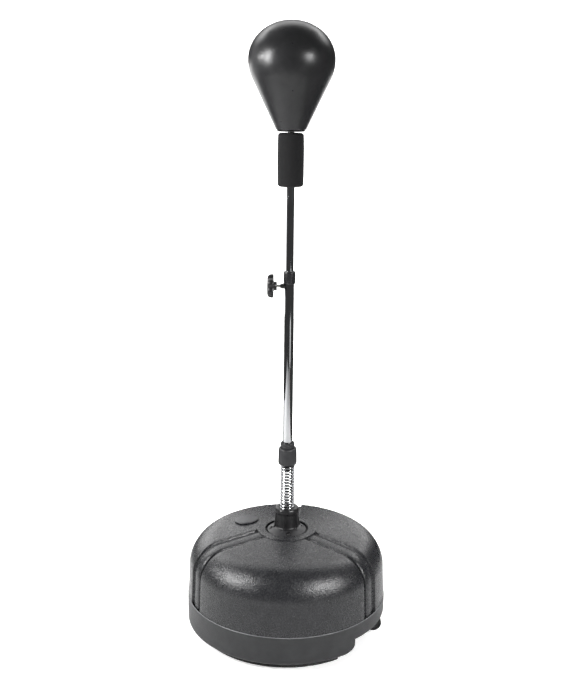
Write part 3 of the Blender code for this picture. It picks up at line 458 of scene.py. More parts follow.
def tank_rows():
    """(radius, z, share of the channels' depth) down the outside of the tank."""
    ring_foot = RING_TOP_Z - RING_STEP
    top = [(0.0, RECESS_FLOOR_Z), (RECESS_RADIUS, RECESS_FLOOR_Z), (RECESS_RADIUS, RING_TOP_Z),
           (RING_RADIUS - 0.0003, RING_TOP_Z), (RING_RADIUS + 0.0003, ring_foot)]
    rows = [(r, z, 0.0) for r, z in eased(top, 0.0009)]
    rows += [(RING_RADIUS + 0.0007, ring_foot - 0.0003, 0.15), (RING_RADIUS + 0.0013, ring_foot - 0.0003, 0.75),
             (RING_RADIUS + 0.0020, crown_height(RING_RADIUS + 0.0020), 1.0)]
    rows += [(r, crown_height(r), 1.0) for r in np.linspace(0.078, CROWN_END[0] - 0.004, 14)]
    rows += [(r, z, 1.0) for r, z in shoulder(26)]
    foot = (BASE_RADIUS, SEAM_Z + 0.0004)
    for share in np.linspace(0.12, 1.0, 9):
        rows.append((SIDE_TOP[0] + share * (foot[0] - SIDE_TOP[0]), SIDE_TOP[1] + share * (foot[1] - SIDE_TOP[1]),
                     1.0))
    low = TANK_BOTTOM_Z
    rows += [(BASE_RADIUS - 0.0001, SEAM_Z - 0.0009, 1.0), (TANK_LOW_RADIUS + 0.0002, SEAM_Z - 0.0016, 1.0),
             (TANK_LOW_RADIUS - 0.0006, low + 0.0100, 1.0), (TANK_LOW_RADIUS - 0.0060, low + 0.0004, 1.0),
             (0.0, low + 0.0003, 0.0)]
    return rows


def channel_section():
    """(sideways, depth) across one channel: rounded lips, steep walls and a rounded rib along the middle."""
    edge, deep, rib, crown = CHANNEL_HALF_WIDTH, CHANNEL_DEPTH, CHANNEL_RIB_HALF_WIDTH, CHANNEL_RIB_DEPTH
    foot, lip, fall = edge - CHANNEL_WALL_SLOPE, 0.0016, deep - crown
    half = [(-edge - lip + lip * math.sin(a), lip - lip * math.cos(a)) for a in np.radians((0, 25, 50, 75))]
    half += [(-edge + 0.0001, 0.0024), (-foot - 0.0001, deep - 0.0012), (-foot + 0.0003, deep - 0.0003),
             (-foot + 0.0009, deep), (-(foot + rib) / 2, deep + 0.0001), (-rib - 0.0018, deep + 0.0008),
             (-rib - 0.0006, deep + 0.0018)]
    half += [(-rib * math.cos(a), deep - fall * math.sin(a) ** 0.8) for a in np.radians((6, 16, 28, 42, 58, 74))]
    return half + [(0.0, crown)] + [(-x, d) for x, d in reversed(half)]


def make_tank():
    """The dome with its channels, then the filling hole and the neck below it."""
    rows = tank_rows()
    section = channel_section()
    between = 34              # points between two channels
    neck_depth, above = 0.012, 0.02
    rings = []
    for index, (radius, z, share) in enumerate(rows):
        if radius == 0.0:
            rings.append([(0.0, 0.0, z)])
            continue
        before, after = rows[max(index - 1, 0)], rows[min(index + 1, len(rows) - 1)]
        along = Vector((after[0] - before[0], after[1] - before[1])).normalized()
        inward = Vector((along.y, -along.x)) if z > SIDE_TOP[1] else Vector((-1.0, 0.0))
        if radius < RING_RADIUS + 0.003:
            inward = Vector((0.0, -1.0))
        spread = max(radius, RING_RADIUS)
        ring = []
        for number, centre in enumerate(CHANNEL_ANGLES):
            for offset, depth in section:
                ring.append(polar(radius + inward.x * share * depth, centre + math.asin(offset / spread),
                                  z + inward.y * share * depth))
            following = CHANNEL_ANGLES[(number + 1) % 3] + (2 * math.pi if number == 2 else 0.0)
            half_angle = math.asin(section[-1][0] / spread)
            start, end = centre + half_angle, following - half_angle
            ring += [polar(radius, start + (end - start) * k / (between + 1), z) for k in range(1, between + 1)]
        rings.append(ring)
    tank = from_rings("tank", rings, BASE)
    foot, turn = filler_place()
    mouth = rod("mouth", (0, 0, -neck_depth), (0, 0, above), NECK_BORE, BASE, 64)
    cut(tank, put(mouth, foot, turn))
    finish_piece(tank, "base", "base_plastic", "tank_shell")
    inside = NECK_BORE - 0.0001
    neck = turned("filler_neck", [(inside, -0.0006), (NECK_OUTER, -0.0012), (NECK_OUTER, -neck_depth),
                                  (inside, -neck_depth)], BASE, 0.0003, 64)
    finish_piece(put(neck, foot, turn), "base", "base_plastic")


def filler_place():
    """Where the filler's axis meets the crown, and its turn about X, Y and Z."""
    foot = polar(FILLER_RADIUS, FILLER_ANGLE, crown_height(FILLER_RADIUS))
    return foot, (0.0, FILLER_TILT, FILLER_ANGLE)


def make_filler_plug():
    rim, flange, body = PLUG_RADIUS, 0.0011, NECK_BORE - 0.0004
    profile = [(0.0, 0.0061), (0.008, 0.0060), (0.016, 0.0057), (0.0225, 0.0052), (rim - 0.0026, 0.0046),
               (rim - 0.0008, 0.0038), (rim, 0.0028), (rim - 0.0002, flange), (rim - 0.0030, flange),
               (rim - 0.0030, flange + 0.0008),
               (body - 0.0012, flange + 0.0008), (body - 0.0012, -0.0036), (body, -0.0046), (body, -0.0062),
               (body - 0.0012, -0.0072), (body - 0.0018, -0.0138), (body - 0.0042, -0.0138),
               (body - 0.0042, -0.0012), (0.0, -0.0012)]
    plug = turned("filler_plug_piece", profile, PLUG, 0.0006, 96)
    foot, turn = filler_place()
    finish_piece(put(plug, foot, turn), "filler", "base_plastic", "filler_plug")


# ---------------------------------------------------------------- base: tray, foot and wheels

def skirt_outline(angle):
    """(radius, z) down the outside, round the lower edge and back up the inside, at one angle."""
    off = abs((angle + math.pi) % (2 * math.pi) - math.pi)
    drop = SEAM_Z - SKIRT_BOTTOM_Z
    low, rounding = SKIRT_BOTTOM_Z, 0.0100
    if off < CUTOUT_HALF_ANGLE:
        low, rounding = WEB_LOW_Z, 0.0016
    else:
        share = min((off - CUTOUT_HALF_ANGLE) / CUTOUT_ROUNDING, 1.0)
        low += 0.013 * (1 - math.sqrt(1 - (1 - share) ** 2))
    drafted = lambda z: SKIRT_RADIUS - SKIRT_DRAFT * (SEAM_Z - z) / drop
    rim = 0.0014
    points = [(SKIRT_RADIUS - WALL + 0.0009, SEAM_Z - 0.0010), (BASE_RADIUS + 0.0002, SEAM_Z - 0.0004)]
    points += [(SKIRT_RADIUS - rim + rim * math.sin(a), SEAM_Z - rim + rim * math.cos(a))
               for a in np.radians((0, 22, 45, 68, 90))]
    wall_end = low + rounding
    points += [(drafted(z), z) for z in np.linspace(SEAM_Z - 0.003, wall_end, 8)]
    centre = drafted(wall_end) - rounding
    points += [(centre + rounding * math.cos(a), wall_end - rounding * math.sin(a))
               for a in np.linspace(0.0, math.pi / 2, 9)[1:]]
    inner = points[-1][0] - 0.0002
    points += [(inner, low + 0.0005), (min(inner, drafted(low + 0.006) - WALL), low + WALL * 0.8)]
    points += [(drafted(z) - WALL, z) for z in np.linspace(low + max(rounding, 0.006), SEAM_Z - 0.004, 4)]
    return points


def make_tray():
    """The skirt with a painted highlight on its top rim (a lighter strip), the web, the foot's walls and the wheels'
    lugs.
    """
    painted_highlight_height, beyond, lug_radius = 0.0013, 0.26, 0.010
    edge = CUTOUT_HALF_ANGLE
    half = list(np.linspace(0.0, edge - 0.0035, 30))
    half += [edge + s for s in (0.0004, 0.002, 0.006, 0.014, 0.028, 0.05, 0.08, 0.11)]
    half += list(np.linspace(edge + CUTOUT_ROUNDING, math.pi, 90))[:-1]
    angles = half + [math.pi] + [2 * math.pi - a for a in reversed(half[1:])]
    outlines = [skirt_outline(a) for a in angles]
    rings = [[polar(outlines[i][k][0], a, outlines[i][k][1]) for i, a in enumerate(angles)]
             for k in range(len(outlines[0]))]
    skirt = from_rings("skirt", rings, TRAY, closed=True, angle=50)
    # Faces near the top of the rim take the lighter material: a painted highlight.
    skirt.data.materials.append(PAINTED_RIM_HIGHLIGHT)
    for face in skirt.data.polygons:
        face.material_index = int(face.center.z > SEAM_Z - painted_highlight_height)
    finish_piece(skirt, "base", "base_plastic", "base_tray")

    def add(piece):
        finish_piece(piece, "base", "base_plastic")

    outer, inner = FOOT_RADIUS - 0.0015, FOOT_RADIUS - 0.0045
    add(turned("web", [(0.0, WEB_TOP_Z), (SKIRT_RADIUS - 0.0028, WEB_TOP_Z),
                       (SKIRT_RADIUS - 0.0028, WEB_LOW_Z + 0.0003), (0.0, WEB_LOW_Z + 0.0003)], TRAY, 0.0, 128))
    wall = turned("foot_wall", [(inner, WEB_LOW_Z + 0.001), (outer, WEB_LOW_Z + 0.001), (outer, 0.0035),
                                (inner, 0.0035)], TRAY, 0.0004, 160)
    add(cut(wall, block("beyond_foot", (FOOT_CHORD_X, -beyond, -0.01), (beyond, beyond, 0.08), TRAY)))
    half_chord = math.sqrt((outer - WALL / 2) ** 2 - FOOT_CHORD_X ** 2)
    add(block("chord_wall", (FOOT_CHORD_X - WALL, -half_chord, 0.0080),
              (FOOT_CHORD_X + 0.0008, half_chord, WEB_LOW_Z + 0.001), TRAY, 0.0006))
    outline = [(-lug_radius, WEB_LOW_Z + 0.001), (-lug_radius, WHEEL_Z)]
    outline += [(lug_radius * math.cos(a), WHEEL_Z + lug_radius * math.sin(a))
                for a in np.linspace(math.pi, 2 * math.pi, 25)[1:-1]]
    outline += [(lug_radius, WHEEL_Z), (lug_radius, WEB_LOW_Z + 0.001)]
    for side in (-1, 1):
        reach = WHEEL_HUB_HALF_WIDTH + GAP + WALL / 2
        for number, y in enumerate((WHEEL_Y - reach, WHEEL_Y + reach)):
            # The lugs belong to the tray but take the darker black plastic, so they read dark under the skirt:
            # painted shade.
            lug = prism(f"wheel_lug_{'lr'[side > 0]}{number}", outline, -WALL / 2, WALL / 2, BLACK, 0.0005)
            put(lug, (0, 0, 0), (math.pi / 2, 0, 0))
            add(put(lug, (WHEEL_X, side * y, 0.0)))


def make_foot_ring():
    outer, inner, beyond = FOOT_RADIUS, FOOT_RADIUS - 0.0075, 0.26
    profile = [(outer - 0.0012, 0.0140), (outer, 0.0140), (outer, 0.0), (inner, 0.0), (inner, 0.0070),
               (outer - 0.0048, 0.0070), (outer - 0.0048, 0.0032), (outer - 0.0012, 0.0032)]
    ring = turned("foot_ring_piece", profile, RUBBER, 0.0010, 192)
    cut(ring, block("beyond_ring", (FOOT_CHORD_X - WALL - GAP, -beyond, -0.02), (beyond, beyond, 0.05), RUBBER))
    finish_piece(ring, "base", "rubber", "foot_ring")


def make_wheels():
    tread, hub = TREAD_HALF_WIDTH, WHEEL_HUB_HALF_WIDTH
    end = WHEEL_Y + hub + GAP + WALL
    side = [(0.0034, hub), (0.0070, hub), (0.0075, tread - 0.0025), (0.0150, tread - 0.0025),
            (0.0160, tread - 0.0002), (WHEEL_RADIUS - 0.0020, tread), (WHEEL_RADIUS, tread - 0.0030)]
    profile = side + [(r, -z) for r, z in reversed(side)]
    for name, sign in (("left", -1), ("right", 1)):
        wheel = turned(f"wheel_{name}_piece", profile, BLACK, 0.0009, 64)
        put(wheel, (WHEEL_X, sign * WHEEL_Y, WHEEL_Z), (math.pi / 2, 0, 0))
        finish_piece(wheel, f"wheel_{name[0]}", "rubber", f"wheel_{name}")
        cap = turned(f"axle_cap_{name}_piece", [(0.0, 0.0036), (0.0045, 0.0034), (0.0060, 0.0022), (0.0060, 0.0),
                                                (0.0033, 0.0), (0.0033, 0.0021), (0.0, 0.0021)],
                     BLACK, 0.0004, 48)
        put(cap, (WHEEL_X, sign * (end + GAP), WHEEL_Z), (-sign * math.pi / 2, 0, 0))
        finish_piece(cap, "base", "black_plastic", f"axle_cap_{name}")
    reach = end + 0.0020
    axle = rod("wheel_axle_piece", (WHEEL_X, -reach, WHEEL_Z), (WHEEL_X, reach, WHEEL_Z), 0.003, STEEL, 32)
    finish_piece(axle, "base", "zinc_steel", "wheel_axle")


# ---------------------------------------------------------------- hub

def hub_profile():
    """(radius, z, share of the ribs' height) down the outside of the socket, from its mouth."""
    top, cone = HUB_TOP_Z, HUB_CONE[1]
    fall = (cone - FLANGE_TOP) / (FLANGE_RADIUS - 0.0010 - HUB_CONE[0])
    on_cone = lambda radius: cone - fall * (radius - HUB_CONE[0])
    return [
        (0.0184, top - 0.0010, 0), (0.0190, top - 0.0002, 0), (0.0196, top, 0), (0.0252, top, 0),
        (0.0266, top - 0.0006, 0), (0.0280, top - 0.0028, 0), (0.0288, top - 0.0056, 0),
        (0.0292, top - 0.0090, 0), (0.0292, top - 0.0112, 0), (0.0286, top - 0.0124, 0),
        (0.0274, top - 0.0132, 0.15), (0.0266, top - 0.0144, 0.8), (0.0266, top - 0.0170, 1),
        (0.0270, 0.2860, 1), (0.0273, 0.2800, 1), (0.0276, 0.2740, 1), (0.0279, 0.2690, 1),
        (0.0282, 0.2650, 1.2), (0.0284, 0.2620, 1.5), (0.0287, 0.2602, 1.9), (0.0294, on_cone(0.0294) + 0.0002, 2.1),
        (0.0310, on_cone(0.0310), 1.5), (0.0330, on_cone(0.0330), 0.5), (0.0350, on_cone(0.0350), 0),
        (0.0385, on_cone(0.0385), 0), (0.0425, on_cone(0.0425), 0), (FLANGE_RADIUS - 0.0010, FLANGE_TOP, 0),
        (FLANGE_RADIUS - 0.0003, FLANGE_TOP - 0.0004, 0), (FLANGE_RADIUS, FLANGE_TOP - 0.0011, 0),
        (FLANGE_RADIUS, FLANGE_LOW + 0.0004, 0), (FLANGE_RADIUS - 0.0004, FLANGE_LOW, 0),
        (0.0205, FLANGE_LOW, 0), (0.0205, FLANGE_LOW + 0.0036, 0),
        (0.0107, FLANGE_LOW + 0.0036, 0), (0.0107, 0.2600, 0), (0.0182, 0.2600, 0), (0.0182, 0.2900, 0),
    ]


def make_hub():
    """The socket and its flange in one moulding, with six ribs that flare out at their feet."""
    steps = 240
    half_width, flank, rib_height = 0.0021, 0.0012, 0.0022
    flange_from, well_radius, above_well = 0.0325, 0.0056, 0.27
    rings = []
    for radius, z, share in hub_profile():
        ring = []
        for k in range(steps):
            angle = 2 * math.pi * k / steps
            off = min(abs((angle - a + math.pi) % (2 * math.pi) - math.pi) for a in RIB_ANGLES) * radius
            level = min(max((half_width + flank - off) / flank, 0.0), 1.0)
            level = level * level * (3 - 2 * level)
            ring.append(polar(radius + rib_height * share * level, angle, z))
        rings.append(ring)
    hub = from_rings("hub_socket_piece", rings, BLACK, closed=True, angle=45)
    hub.data.materials.append(FLANGE)
    for face in hub.data.polygons:
        on_flange = math.hypot(face.center.x, face.center.y) > flange_from
        face.material_index = int(on_flange and face.center.z < HUB_CONE[1])
    wells = [rod(f"well_{i}", polar(SCREW_CIRCLE, a, HUB_WELL_Z), polar(SCREW_CIRCLE, a, above_well), well_radius,
                 BLACK, 40) for i, a in enumerate(SCREW_ANGLES)]
    cut(hub, *wells, angle=45)
    finish_piece(hub, "base", "black_plastic", "hub_socket")
    seat = HUB_WELL_Z + GAP
    for number, angle in enumerate(SCREW_ANGLES, start=1):
        profile = [(0.0, seat + 0.0028), (0.0014, seat + 0.0028), (0.0030, seat + 0.0025),
                   (0.0042, seat + 0.0014), (0.0045, seat), (0.0025, seat), (0.0025, 0.2312), (0.0, 0.2312)]
        screw = turned(f"hub_screw_{number}_piece", profile, DARK_STEEL, 0.0005, 48)
        slots = [block(f"slot_{k}", (-0.0026, -0.00045, seat + 0.0012), (0.0026, 0.00045, seat + 0.004),
                       DARK_STEEL, 0.0001) for k in range(2)]
        put(slots[1], (0, 0, 0), (0, 0, math.pi / 2))
        cut(screw, *slots)
        put(screw, polar(SCREW_CIRCLE, angle, 0.0), (0, 0, 0.6 * number))
        finish_piece(screw, "base", "zinc_steel", f"hub_screw_{number}")


# ---------------------------------------------------------------- spring

def coil(name, low, high, material):
    """One stretch of the coil, as a swept circle with closed ends."""
    per_turn, sides = 36, 14
    start = (low - SPRING_LOW_Z) / COIL_PITCH
    count = int((high - low) / COIL_PITCH * per_turn)
    rings = []
    for i in range(count + 1):
        turn = start + i / per_turn
        angle = 2 * math.pi * turn
        centre = Vector(polar(COIL_RADIUS, angle, SPRING_LOW_Z + COIL_PITCH * turn))
        out = Vector((math.cos(angle), math.sin(angle), 0.0))
        along = Vector((-math.sin(angle) * 2 * math.pi * COIL_RADIUS, math.cos(angle) * 2 * math.pi * COIL_RADIUS,
                        COIL_PITCH)).normalized()
        up = along.cross(out)
        rings.append([tuple(centre + WIRE_RADIUS * (math.cos(a) * out + math.sin(a) * up))
                      for a in np.linspace(0, 2 * math.pi, sides, endpoint=False)])
        if i == 0:
            rings.insert(0, [tuple(centre)])
        if i == count:
            rings.append([tuple(centre)])
    return from_rings(name, rings, material, angle=60)


def make_spring():
    """The coil in two halves, which stand in for the spring's CAD node."""
    lower = coil("spring_lower_half", SPRING_LOW_Z, SPRING_MIDDLE_Z, WIRE)
    upper = coil("spring_upper_half", SPRING_MIDDLE_Z, SPRING_HIGH_Z, WIRE)
    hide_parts("spring")
    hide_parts("spring")
    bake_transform(lower)
    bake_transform(upper)


# ---------------------------------------------------------------- lower pole and clamp

def make_lower_pole():
    def add(piece, slot, node):
        finish_piece(piece, "lower_pole", slot, node)

    collar = [(0.0182, 0.4585), (0.0196, 0.4585), (0.0211, 0.4577), (0.0218, 0.4556), (0.0218, 0.4525),
              (0.0221, 0.4420), (0.0223, 0.4245), (0.0223, 0.4217), (0.0218, 0.4193), (0.0208, 0.4177),
              (0.0197, 0.4175), (0.0183, 0.4175), (0.0183, 0.4442), (0.0116, 0.4442), (0.0116, 0.4525),
              (0.0182, 0.4525)]
    add(turned("spring_collar_piece", collar, GREY, 0.0006, 96), "grey_plastic", "spring_collar")
    top = 0.4725
    collet = [(0.0148, top), (0.0163, top - 0.0006), (0.0168, top - 0.0026), (0.0168, top - 0.0058),
              (0.0160, top - 0.0066), (0.0160, top - 0.0080), (0.0168, top - 0.0088), (0.0168, 0.4528),
              (0.0116, 0.4528), (0.0116, top - 0.0058)]
    ring = turned("pole_collet_piece", collet, GREY, 0.0004, 96)
    slots = [put(block(f"collet_slot_{k}", (-0.03, -0.0010, top - 0.0064), (0.03, 0.0010, top + 0.01), GREY,
                       0.0002), (0, 0, 0), (0, 0, math.radians(20 + 90 * k))) for k in range(2)]
    add(cut(ring, *slots), "grey_plastic", "pole_collet")
    tube = turned("lower_tube_piece", [(TUBE_BORE, TUBE_TOP_Z), (TUBE_RADIUS, TUBE_TOP_Z),
                                       (TUBE_RADIUS, TUBE_LOW_Z), (TUBE_BORE, TUBE_LOW_Z)], CHROME, 0.0003, 96)
    hole = rod("screw_hole", (-0.03, 0, CLAMP_Z), (0, 0, CLAMP_Z), SCREW_HOLE_RADIUS, CHROME, 32)
    add(cut(tube, hole), "chrome", "lower_tube")
    cap = [(0.0104, 0.886), (0.0115, 0.886), (0.0129, 0.8853), (0.0138, 0.8832), (0.0141, 0.8800),
           (0.0141, 0.8620), (0.0139, 0.8588), (0.0134, 0.8574), (0.0116, 0.8574), (0.0116, 0.8793),
           (0.0099, 0.8793), (0.0099, 0.8852)]
    add(turned("clamp_collar_piece", cap, GLOSS, 0.0005, 96), "black_plastic", "clamp_collar")
    nut = turned("clamp_nut_piece", [(SCREW_HOLE_RADIUS, 0.0217), (0.0040, 0.0217), (0.0052, 0.0184),
                                     (0.0060, 0.0168), (0.0060, 0.0080), (SCREW_HOLE_RADIUS, 0.0080)],
                 DARK_STEEL, 0.0004, 64)
    along_x(nut)
    saddle = rod("saddle", (0, 0, CLAMP_Z - 0.02), (0, 0, CLAMP_Z + 0.02), TUBE_RADIUS + GAP, DARK_STEEL, 64)
    add(cut(nut, saddle), "dark_steel", "clamp_nut")


def make_clamp():
    pad = turned("clamp_pad_piece", [(0.0, 0.0126), (0.0026, 0.0126), (0.0026, 0.0098), (0.0, 0.0098)], NYLON,
                 0.0003, 48)
    finish_piece(along_x(pad), "pad", "nylon", "clamp_pad")
    thread = []
    crest, root, pitch = 0.0030, 0.0026, 0.0010
    z, end = 0.0131, 0.0404
    while z < end - 0.0012:
        thread += [(crest, z), (crest, z + 0.0003), (root, z + 0.0006), (root, z + 0.0007)]
        z += pitch
    profile = [(0.0, end)] + [(r, x) for r, x in reversed(thread)] + [(0.0024, 0.0129), (0.0, 0.0129)]
    screw = turned("clamp_screw_piece", profile, STEEL, 0.0, 48)
    finish_piece(along_x(screw), "knob", "zinc_steel", "clamp_screw")
    finish_piece(along_x(knob_body()), "knob", "black_plastic", "clamp_knob")


def knob_body():
    """Six rounded lobes, a slightly domed face with a shallow dish, and a short boss on the screw's side."""
    steps, lobes, lobe_depth, radius = 240, 6, 0.0042, 0.0275
    rows = [(0.00, 0.0500, 0), (0.30, 0.0500, 0), (0.40, 0.0503, 0), (0.46, 0.0510, 0.2), (0.58, 0.0512, 0.4),
            (0.68, 0.0511, 0.8), (0.76, 0.0507, 1), (0.84, 0.0499, 1), (0.91, 0.0485, 1), (0.955, 0.0466, 1),
            (0.985, 0.0442, 1), (1.0, 0.0414, 1), (1.0, 0.0392, 1), (0.988, 0.0376, 1), (0.955, 0.0365, 1),
            (0.90, 0.0362, 1), (0.60, 0.0362, 0.4), (0.397, 0.0361, 0), (0.385, 0.0355, 0), (0.385, 0.0295, 0),
            (0.366, 0.0288, 0), (0.12, 0.0287, 0), (0.12, 0.0407, 0), (0.0, 0.0407, 0)]
    rings = []
    for share, back, lobed in rows:
        if share == 0.0:
            rings.append([(0.0, 0.0, back)])
            continue
        ring = []
        for k in range(steps):
            angle = 2 * math.pi * k / steps
            wave = 0.5 - 0.5 * math.cos(lobes * angle)
            ring.append(polar(share * (radius - lobed * lobe_depth * wave ** 1.4), angle, back))
        rings.append(ring)
    return from_rings("clamp_knob_piece", rings, BLACK, angle=40)


# ---------------------------------------------------------------- upper pole, foam and ball

def make_upper_pole():
    tube = turned("upper_tube_piece", [(INNER_TUBE_BORE, INNER_TUBE_TOP_Z), (INNER_TUBE_RADIUS, INNER_TUBE_TOP_Z),
                                       (INNER_TUBE_RADIUS, INNER_TUBE_LOW_Z), (INNER_TUBE_BORE, INNER_TUBE_LOW_Z)],
                  CHROME, 0.0003, 96)
    finish_piece(tube, "upper_pole", "chrome", "upper_tube")
    nut = turned("ball_lock_nut_piece", [(0.0043, 1.1987), (0.0068, 1.1987), (0.0072, 1.1977), (0.0072, 1.1895),
                                         (0.0043, 1.1895)], BLACK, 0.0005, 64)
    finish_piece(nut, "upper_pole", "black_plastic", "ball_lock_nut")
    plate = turned("ball_plate_piece", [(0.0043, 1.2020), (0.0308, 1.2020), (0.0318, 1.2010), (0.0306, 1.1990),
                                        (0.0043, 1.1990)], BLACK, 0.0006, 96)
    finish_piece(plate, "upper_pole", "black_plastic", "ball_plate")


def make_foam_sleeve():
    """A foam tube, a little barrelled, whose skin is uneven where hands have squeezed it."""
    low, high, radius, corner, barrel, squeeze = FOAM_LOW_Z, FOAM_TOP_Z, FOAM_RADIUS, 0.0062, 0.0009, 0.0075
    outer = [(0.0078, high - 0.0004), (0.0150, high)]
    outer += [(radius - barrel - corner + corner * math.cos(a), high - corner + corner * math.sin(a))
              for a in np.linspace(math.pi / 2, 0.0, 9)]
    for share in np.linspace(0.08, 0.92, 22):
        outer.append((radius - barrel * (2 * share - 1) ** 2, high - corner - share * (high - low - 2 * corner)))
    outer += [(radius - barrel - corner + corner * math.cos(a), low + corner + corner * math.sin(a))
              for a in np.linspace(0.0, -math.pi / 2, 9)]
    outer += [(0.0150, low), (0.0102, low + 0.0008), (0.0099, low + 0.0022), (0.0099, 1.1895), (0.0078, 1.1895)]
    foam = turned("foam_sleeve_piece", outer, FOAM, 0.0, 120, 60)
    for vertex in foam.data.vertices:
        place = vertex.co
        angle = math.atan2(place.y, place.x)
        if math.hypot(place.x, place.y) > 0.02:
            wave = math.sin(3 * angle + 40 * place.z) * math.sin(61 * place.z + 1.1)
            wave += 0.6 * math.sin(5 * angle - 90 * place.z + 2.0)
            push = 1.0 - squeeze * (0.5 + 0.5 * wave)
            place.x *= push
            place.y *= push
    finish_piece(foam, "upper_pole", "foam", "foam_sleeve")


def make_ball():
    """The inflated ball: half an ellipse, an arc and a cone, with a small turned-in edge round its flat bottom."""
    height = BALL_TOP_Z - BALL_WIDEST_Z
    points = [(BALL_RADIUS * math.cos(a), BALL_WIDEST_Z + height * math.sin(a))
              for a in np.linspace(math.pi / 2, 0.0, 40)]
    points[0] = (0.0, BALL_TOP_Z)
    centre = BALL_RADIUS - BALL_ARC_RADIUS
    points += [(centre + BALL_ARC_RADIUS * math.cos(a), BALL_WIDEST_Z + BALL_ARC_RADIUS * math.sin(a))
               for a in np.linspace(0.0, -BALL_CONE_ANGLE, 16)[1:]]
    last = points[-1]
    foot_z = BALL_BOTTOM_Z + 0.0035
    for z in np.linspace(last[1], foot_z, 24)[1:]:
        points.append((last[0] - (last[1] - z) * math.tan(BALL_CONE_ANGLE), z))
    edge = points[-1]
    points += [(edge[0] - 0.0010, BALL_BOTTOM_Z + 0.0016), (edge[0] - 0.0022, BALL_BOTTOM_Z + 0.0004),
               (edge[0] - 0.0040, BALL_BOTTOM_Z), (0.0, BALL_BOTTOM_Z)]
    ball = turned("ball_piece", points, BALL, 0.0, 144, 60)
    finish_piece(ball, "upper_pole", "ball_skin", "ball")
    valve = turned("ball_valve_piece", [(0.0, -0.0004), (0.0009, 0.0), (0.0024, 0.0008), (0.0036, 0.0007),
                                        (0.0041, 0.0), (0.0041, -0.0050), (0.0, -0.0050)], RUBBER, 0.0003, 48)
    put(valve, (0, BALL_RADIUS, BALL_WIDEST_Z), (-math.pi / 2, 0, 0))
    finish_piece(valve, "upper_pole", "rubber", "ball_valve")


# ---------------------------------------------------------------- hidden CAD nodes

def finish_cad_nodes():
    # The spring's plugs take dark steel so the gaps between the coils read dark: painted shade.
    materials = {"hub_seal": RUBBER, "hub_backing_plate": STEEL, "spring_lower_plug": DARK_STEEL,
                 "spring_upper_plug": DARK_STEEL, "tube_end_plug": BLACK, "pole_top_plug": STEEL, "ball_stud": STEEL,
                 "ball_inner_plate": BLACK}
    for name, material in materials.items():
        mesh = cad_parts[name].data
        mesh.materials.clear()
        mesh.materials.append(material)


# ---------------------------------------------------------------- floor, light and camera

def stage_sheet(name, points, material, left=-3.2, right=3.2):
    """A strip from left to right through (y, z) points."""
    vertices = [(x, y, z) for y, z in points for x in (left, right)]
    faces = [(2 * i, 2 * i + 1, 2 * i + 3, 2 * i + 2) for i in range(len(points) - 1)]
    mesh = bpy.data.meshes.new(name)
    mesh.from_pydata(vertices, [], faces)
    mesh.shade_smooth()
    sheet = new_object(name, mesh, material)
    return sheet


def make_stage():
    """A pale floor that sweeps up into a wall well behind the object.

    Reflections see neither: a smaller, greyer card that lies on the floor stands in for them.
    """
    paper = Shader("backdrop_paper", (0.93, 0.93, 0.93), 0.9)
    paper.colour(paper.ramp(paper.noise(3, 3), (0.925, 0.925, 0.925), (0.94, 0.94, 0.94)))
    paper.bump(paper.noise(60, 3), 0.05, 0.001)
    paper.set("Emission Strength", 0.40)
    card = Shader("reflected_card", (0.64, 0.64, 0.64), 0.9)
    card.colour(card.ramp(card.noise(3, 3), (0.62, 0.62, 0.62), (0.66, 0.66, 0.66)))
    front, floor_end, sweep, wall_top = -2.3, 3.7, 0.9, 4.6
    card_end, card_left, card_right, card_z = 0.55, -1.65, 1.05, 0.0004
    points = [(front, 0.0)]
    points += [(floor_end + sweep * math.sin(a), sweep - sweep * math.cos(a))
               for a in np.linspace(0.0, math.pi / 2, 17)]
    points.append((floor_end + sweep, wall_top))
    stage_sheet("studio_floor", points, paper.material).visible_glossy = False
    sheet = stage_sheet("reflected_floor", [(front, card_z), (card_end, card_z)], card.material,
                        card_left, card_right)
    sheet.visible_camera = sheet.visible_diffuse = sheet.visible_shadow = False


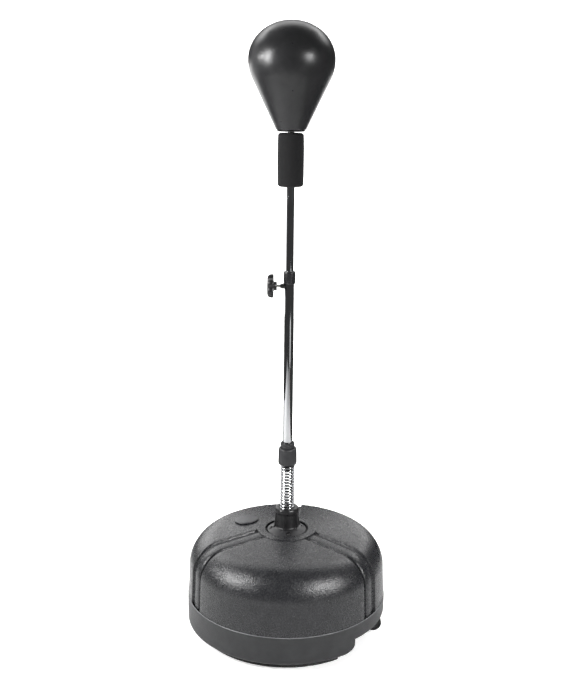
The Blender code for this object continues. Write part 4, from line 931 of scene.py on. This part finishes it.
# name, place, the point it faces, width and height, watts, spread in degrees, whether reflections see it
AREA_LIGHTS = [
    ("left_box", (-2.0, -0.95, 1.60), (0, 0, 0.7), (0.50, 1.1), 70, 180, True),
    ("left_spot", (-2.25, -0.20, 1.56), (0, 0, 1.35), (0.24, 0.36), 19, 180, True),
    ("left_glow", (-2.0, 0.95, 1.35), (0, 0, 1.2), (1.2, 1.9), 5, 180, True),
    ("right_box", (1.85, -1.75, 1.60), (0, 0, 0.25), (0.7, 0.8), 13, 70, True),
    ("low_card", (1.35, -2.0, 0.22), (0, 0, 0.6), (0.75, 0.40), 1.1, 180, True),
    ("back_left", (-1.75, 1.9, 2.40), (0, 0, 0.1), (1.9, 2.0), 4.6, 48, True),
    ("back_right", (1.75, 1.9, 2.55), (0, 0, 0.1), (1.7, 1.6), 3.6, 48, True),
    ("back_top", (0, 1.8, 3.1), (0, 0, 0.8), (2.4, 1.2), 20, 180, True),
    ("back_middle", (0, 2.0, 1.35), (0, 0, 0.3), (0.9, 0.5), 4, 180, True),
    ("low_left", (-1.15, 2.0, 0.80), (0, 0, 0.3), (1.7, 1.0), 15, 180, True),
    ("low_right", (0.80, 2.0, 0.72), (0, 0, 0.3), (0.9, 0.8), 5.5, 180, True),
    ("top_box", (0, 0.2, 3.3), (0, 0, 0), (2.6, 2.2), 12, 180, False),
    ("wall_left", (-2.3, 2.1, 2.3), (-0.4, 4.6, 1.0), (1.4, 2.0), 130, 180, False),
    ("wall_right", (2.3, 2.1, 2.3), (0.4, 4.6, 1.0), (1.4, 2.0), 130, 180, False),
]


def make_lights():
    for name, place, target, size, power, spread, reflected in AREA_LIGHTS:
        light = bpy.data.lights.new(name, "AREA")
        light.shape = "RECTANGLE"
        light.size, light.size_y = size
        light.energy = power
        light.spread = math.radians(spread)
        obj = bpy.data.objects.new(name, light)
        obj.location = place
        obj.rotation_euler = (Vector(target) - Vector(place)).to_track_quat("-Z", "Y").to_euler()
        obj.visible_camera = False
        obj.visible_glossy = reflected
        bpy.context.scene.collection.objects.link(obj)
    world = bpy.data.worlds.new("studio")
    world.use_nodes = True
    background = world.node_tree.nodes["Background"]
    background.inputs["Color"].default_value = (0.5, 0.5, 0.5, 1.0)
    background.inputs["Strength"].default_value = 0.10
    bpy.context.scene.world = world
    bpy.context.scene.view_settings.view_transform = "Standard"


CAMERA_PLACE = (0.0, -2.3124, 1.2907)
CAMERA_LENS, CAMERA_SENSOR = 52.55, 36.0      # mm
CAMERA_DOWN, CAMERA_YAW, CAMERA_ROLL = math.radians(14.342), math.radians(-0.192), 0.0118


def make_camera():
    camera = bpy.data.cameras.new("camera")
    camera.lens, camera.sensor_width = CAMERA_LENS, CAMERA_SENSOR
    camera.clip_start, camera.clip_end = 0.05, 30.0
    obj = bpy.data.objects.new("camera", camera)
    turn = Matrix.Rotation(CAMERA_YAW, 4, "Z") @ Matrix.Rotation(math.pi / 2 - CAMERA_DOWN, 4, "X")
    obj.matrix_world = Matrix.Translation(CAMERA_PLACE) @ turn @ Matrix.Rotation(CAMERA_ROLL, 4, "Z")
    bpy.context.scene.collection.objects.link(obj)
    bpy.context.scene.camera = obj


make_camera()
make_tank()
make_filler_plug()
make_tray()
make_foot_ring()
make_wheels()
make_hub()
make_spring()
make_lower_pole()
make_clamp()
make_upper_pole()
make_foam_sleeve()
make_ball()
finish_cad_nodes()
make_stage()
make_lights()
